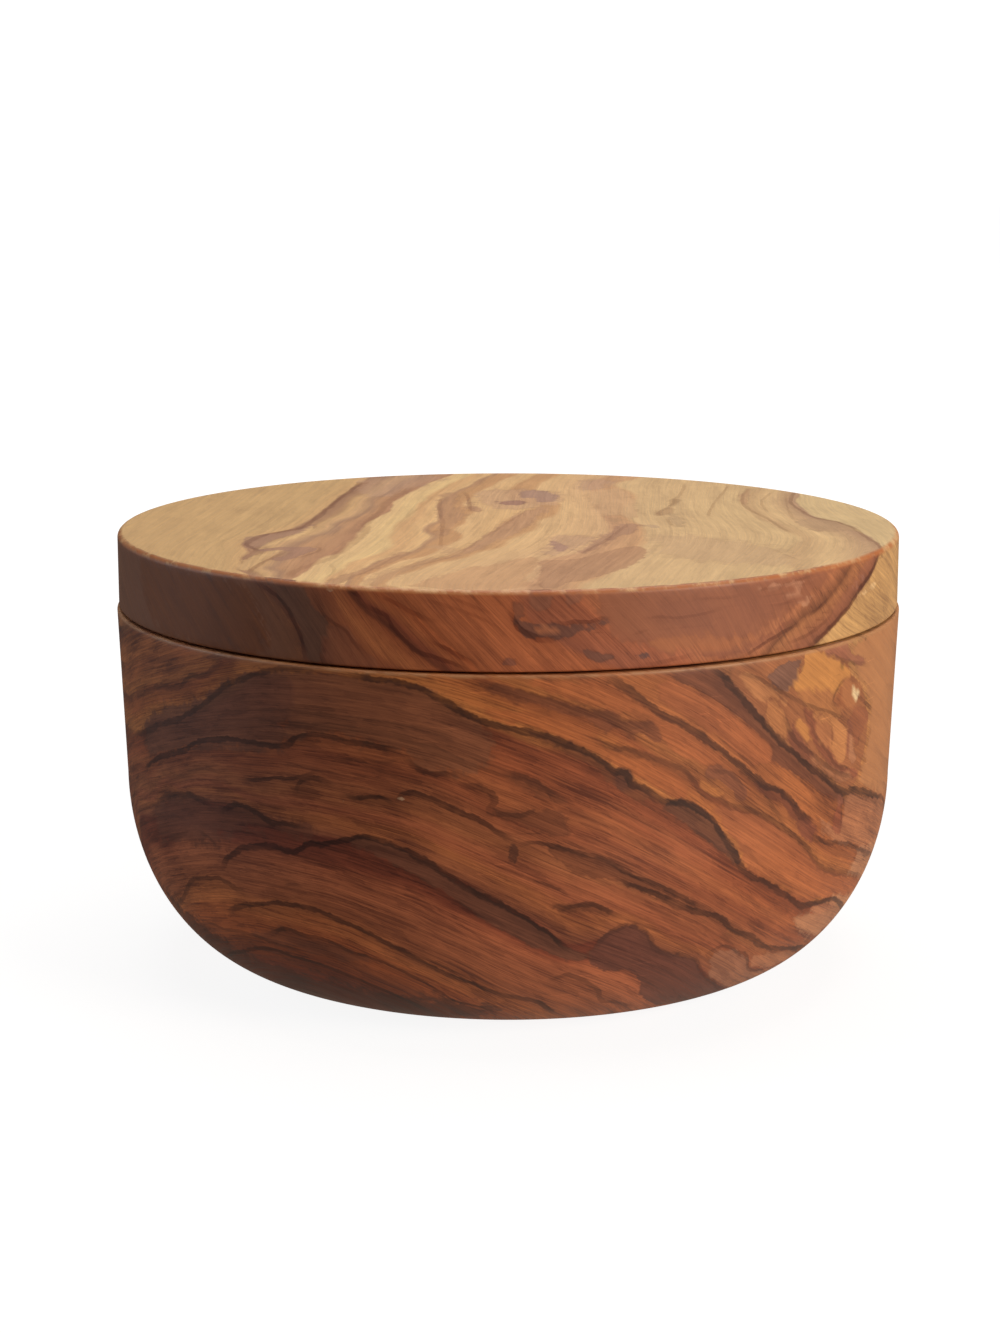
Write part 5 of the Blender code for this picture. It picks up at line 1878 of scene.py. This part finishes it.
@dataclass
class Studio:
    """The pale floor, the soft lights and the camera."""

    lights: tuple[SoftBox, ...]
    # The floor glows a little less near the box than out from it, over this distance, which paints a faint
    # shade round the box.
    floor_size: float = 6.0
    painted_shade_glow: float = 0.9
    painted_shade_reach: Pair = (0.1, 0.5)
    floor_colour: str = "#6c6a68"
    # The warm fill light: its direction, and its strength from there and from the sides.
    fill_colour: str = "#ffe4cf"
    fill_from: tuple[float, float, float] = (0.57, 0.0, -0.82)
    fill_below: float = 0.62
    fill_level: float = 0.12
    white_level: float = 1.05
    # The camera was fitted to the box's outline: its focal length is in pixels of the picture's height,
    # and its pitch is in degrees below level.
    image_height: float = 1333.0
    focal_pixels: float = 2820.0
    sensor_mm: float = 36.0
    camera_place: tuple[float, float, float] = (-1.25 * MM, -432.3 * MM, 132.5 * MM)
    camera_pitch: float = 11.51

    def build_floor(self) -> None:
        """Lay the paper floor, which glows as white as photographed and sends the box no light of its own."""
        half = self.floor_size / 2
        corners = [(-half, -half, 0), (half, -half, 0), (half, half, 0), (-half, half, 0)]
        mesh = bpy.data.meshes.new("floor")
        mesh.from_pydata(corners, [], [(0, 1, 2, 3)])
        floor = bpy.data.objects.new("floor", mesh)
        bpy.context.scene.collection.objects.link(floor)
        # Uncoated paper has no shine of its own, so it shows as one even white.
        material = bpy.data.materials.new("matt_white_backdrop_paper")
        add = Nodes(material).add
        away = add("VectorMath LENGTH", add("TexCoord", out="Object"), out="Value")
        # Painted shade: the floor's glow dims toward the box.
        glow = add("MapRange", away, *self.painted_shade_reach, self.painted_shade_glow, 1.0)
        surface = {
            "Base Color": linear_colour(self.floor_colour),
            "Roughness": 0.9,
            "Specular IOR Level": 0.0,
            "Emission Color": (1, 1, 1, 1),
            "Emission Strength": glow,
        }
        add("OutputMaterial", add("BsdfPrincipled", named=surface))
        mesh.materials.append(material)
        floor.visible_diffuse = False
        floor.visible_glossy = False

    def build_world(self) -> None:
        """Make the surroundings: white behind the box, and a warm fill light from the lower right."""
        world = bpy.data.worlds.new("studio")
        bpy.context.scene.world = world
        add = Nodes(world).add
        toward = add("TexCoord", out="Generated")
        toward = add("VectorMath DOT_PRODUCT", toward, self.fill_from, out="Value")
        strength = add("MapRange", toward, 0.0, 1.0, self.fill_level, self.fill_below)
        fill = add("Background", linear_colour(self.fill_colour), strength)
        white = add("Background", (1, 1, 1, 1), self.white_level)
        add("OutputWorld", add("MixShader", add("LightPath", out="Is Camera Ray"), fill, white))

    def build_camera(self) -> None:
        """Set the camera where the photograph was taken from."""
        data = bpy.data.cameras.new("camera")
        data.sensor_width = self.sensor_mm
        data.lens = self.focal_pixels / self.image_height * self.sensor_mm
        data.clip_start = 0.01
        camera = bpy.data.objects.new("camera", data)
        bpy.context.scene.collection.objects.link(camera)
        camera.location = self.camera_place
        camera.rotation_euler = (math.radians(90 - self.camera_pitch), 0, 0)
        bpy.context.scene.camera = camera

    def build(self) -> None:
        """Set up the floor, the surroundings, the lights and the camera."""
        self.build_floor()
        self.build_world()
        for light in self.lights:
            light.build()
        self.build_camera()
        bpy.context.scene.view_settings.view_transform = "Standard"


def report(piece: bpy.types.Object) -> None:
    """Log a finished piece."""
    log.info("%s: %d vertices", piece.name, len(piece.data.vertices))


def main() -> None:
    """Build and dress the box, and set up the studio round it."""
    logging.basicConfig(level=logging.INFO, format="%(name)s: %(message)s")
    cutters = Bores().build()

    bowl_corner, lid_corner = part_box("bowl")[1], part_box("lid")[1]
    bowl_wood = OiledOliveWood(
        "oiled_olive_wood_bowl",
        BOWL_FIGURE,
        None,
        BOWL_STRENGTHS,
        # The rim's lighter edge is partly wear and partly a painted highlight.
        LitWornEdge(bowl_corner.x, bowl_corner.z, 0.35 * MM, "#b08058"),
    )
    # The lid's grain is finer and quieter than the bowl's, most of all on its pale top.
    lid_wood = OiledOliveWood(
        "oiled_olive_wood_lid",
        LID_SIDE_FIGURE_AND_SHADE,
        LID_TOP_FIGURE,
        LID_STRENGTHS,
        # The top's lighter orange edge is partly wear and partly a painted highlight.
        LitWornEdge(lid_corner.x, lid_corner.z, 0.5 * MM, "#a8602f"),
        vein_tint="#b49b90",
        top_calm=0.6,
        core_mm=0.8,
        halo_mm=1.8,
        lobe_mm=0.8,
        ragged_mm=0.5,
        contrast=0.65,
        turning_light=0.12,
        faint_veins=0.35,
        edge_height=lid_corner.z - 0.2 * MM,
    )
    bowl_tables = (BOWL_VEINS, BOWL_STRANDS, BOWL_ZONES, BOWL_PATCHES)
    lid_tables = (LID_VEINS, LID_STRANDS, LID_ZONES, LID_PATCHES)
    report(Bowl("olive_bowl", "bowl", "bowl", "bowl_wood", bowl_wood, *bowl_tables).build(cutters))
    report(Lid("olive_lid", "lid", "lid", "lid_wood", lid_wood, *lid_tables).build(cutters))
    for cutter in cutters:
        bpy.data.objects.remove(cutter)

    # Ground stainless steel: close marks round the pin spread its shine into a soft grey.
    steel = Metal("ground_stainless_steel", "#b4b3b0", 0.28, 0.5, 0.4)
    # Polished nickel plate: smoother and a little yellower, so the magnets look brighter.
    nickel = Metal("nickel_plated_magnet", "#c4bfb4", 0.2, 1.5, 0.15)
    report(Disc("ground_pivot_pin", "pivot_pin", "pivot", "pin_steel", steel, 0.4 * MM).build())
    report(Disc("rim_magnet_disc", "bowl_magnet", "bowl", "magnet_nickel", nickel, 0.2 * MM).build())
    report(Disc("lid_magnet_disc", "lid_magnet", "lid", "magnet_nickel", nickel, 0.2 * MM).build())

    Studio(
        lights=(
            SoftBox("key", (0.85, -0.59, 0.42), 0.5, 10.2, "#fff3e6"),
            SoftBox("window", (-0.95, 0.1, 0.35), 0.6, 2.9, "#dcecff"),
            SoftBox("overhead", (0.05, 0.25, 1.1), 0.9, 8.7, "#ffffff"),
        )
    ).build()


if __name__ == "__main__":
    main()
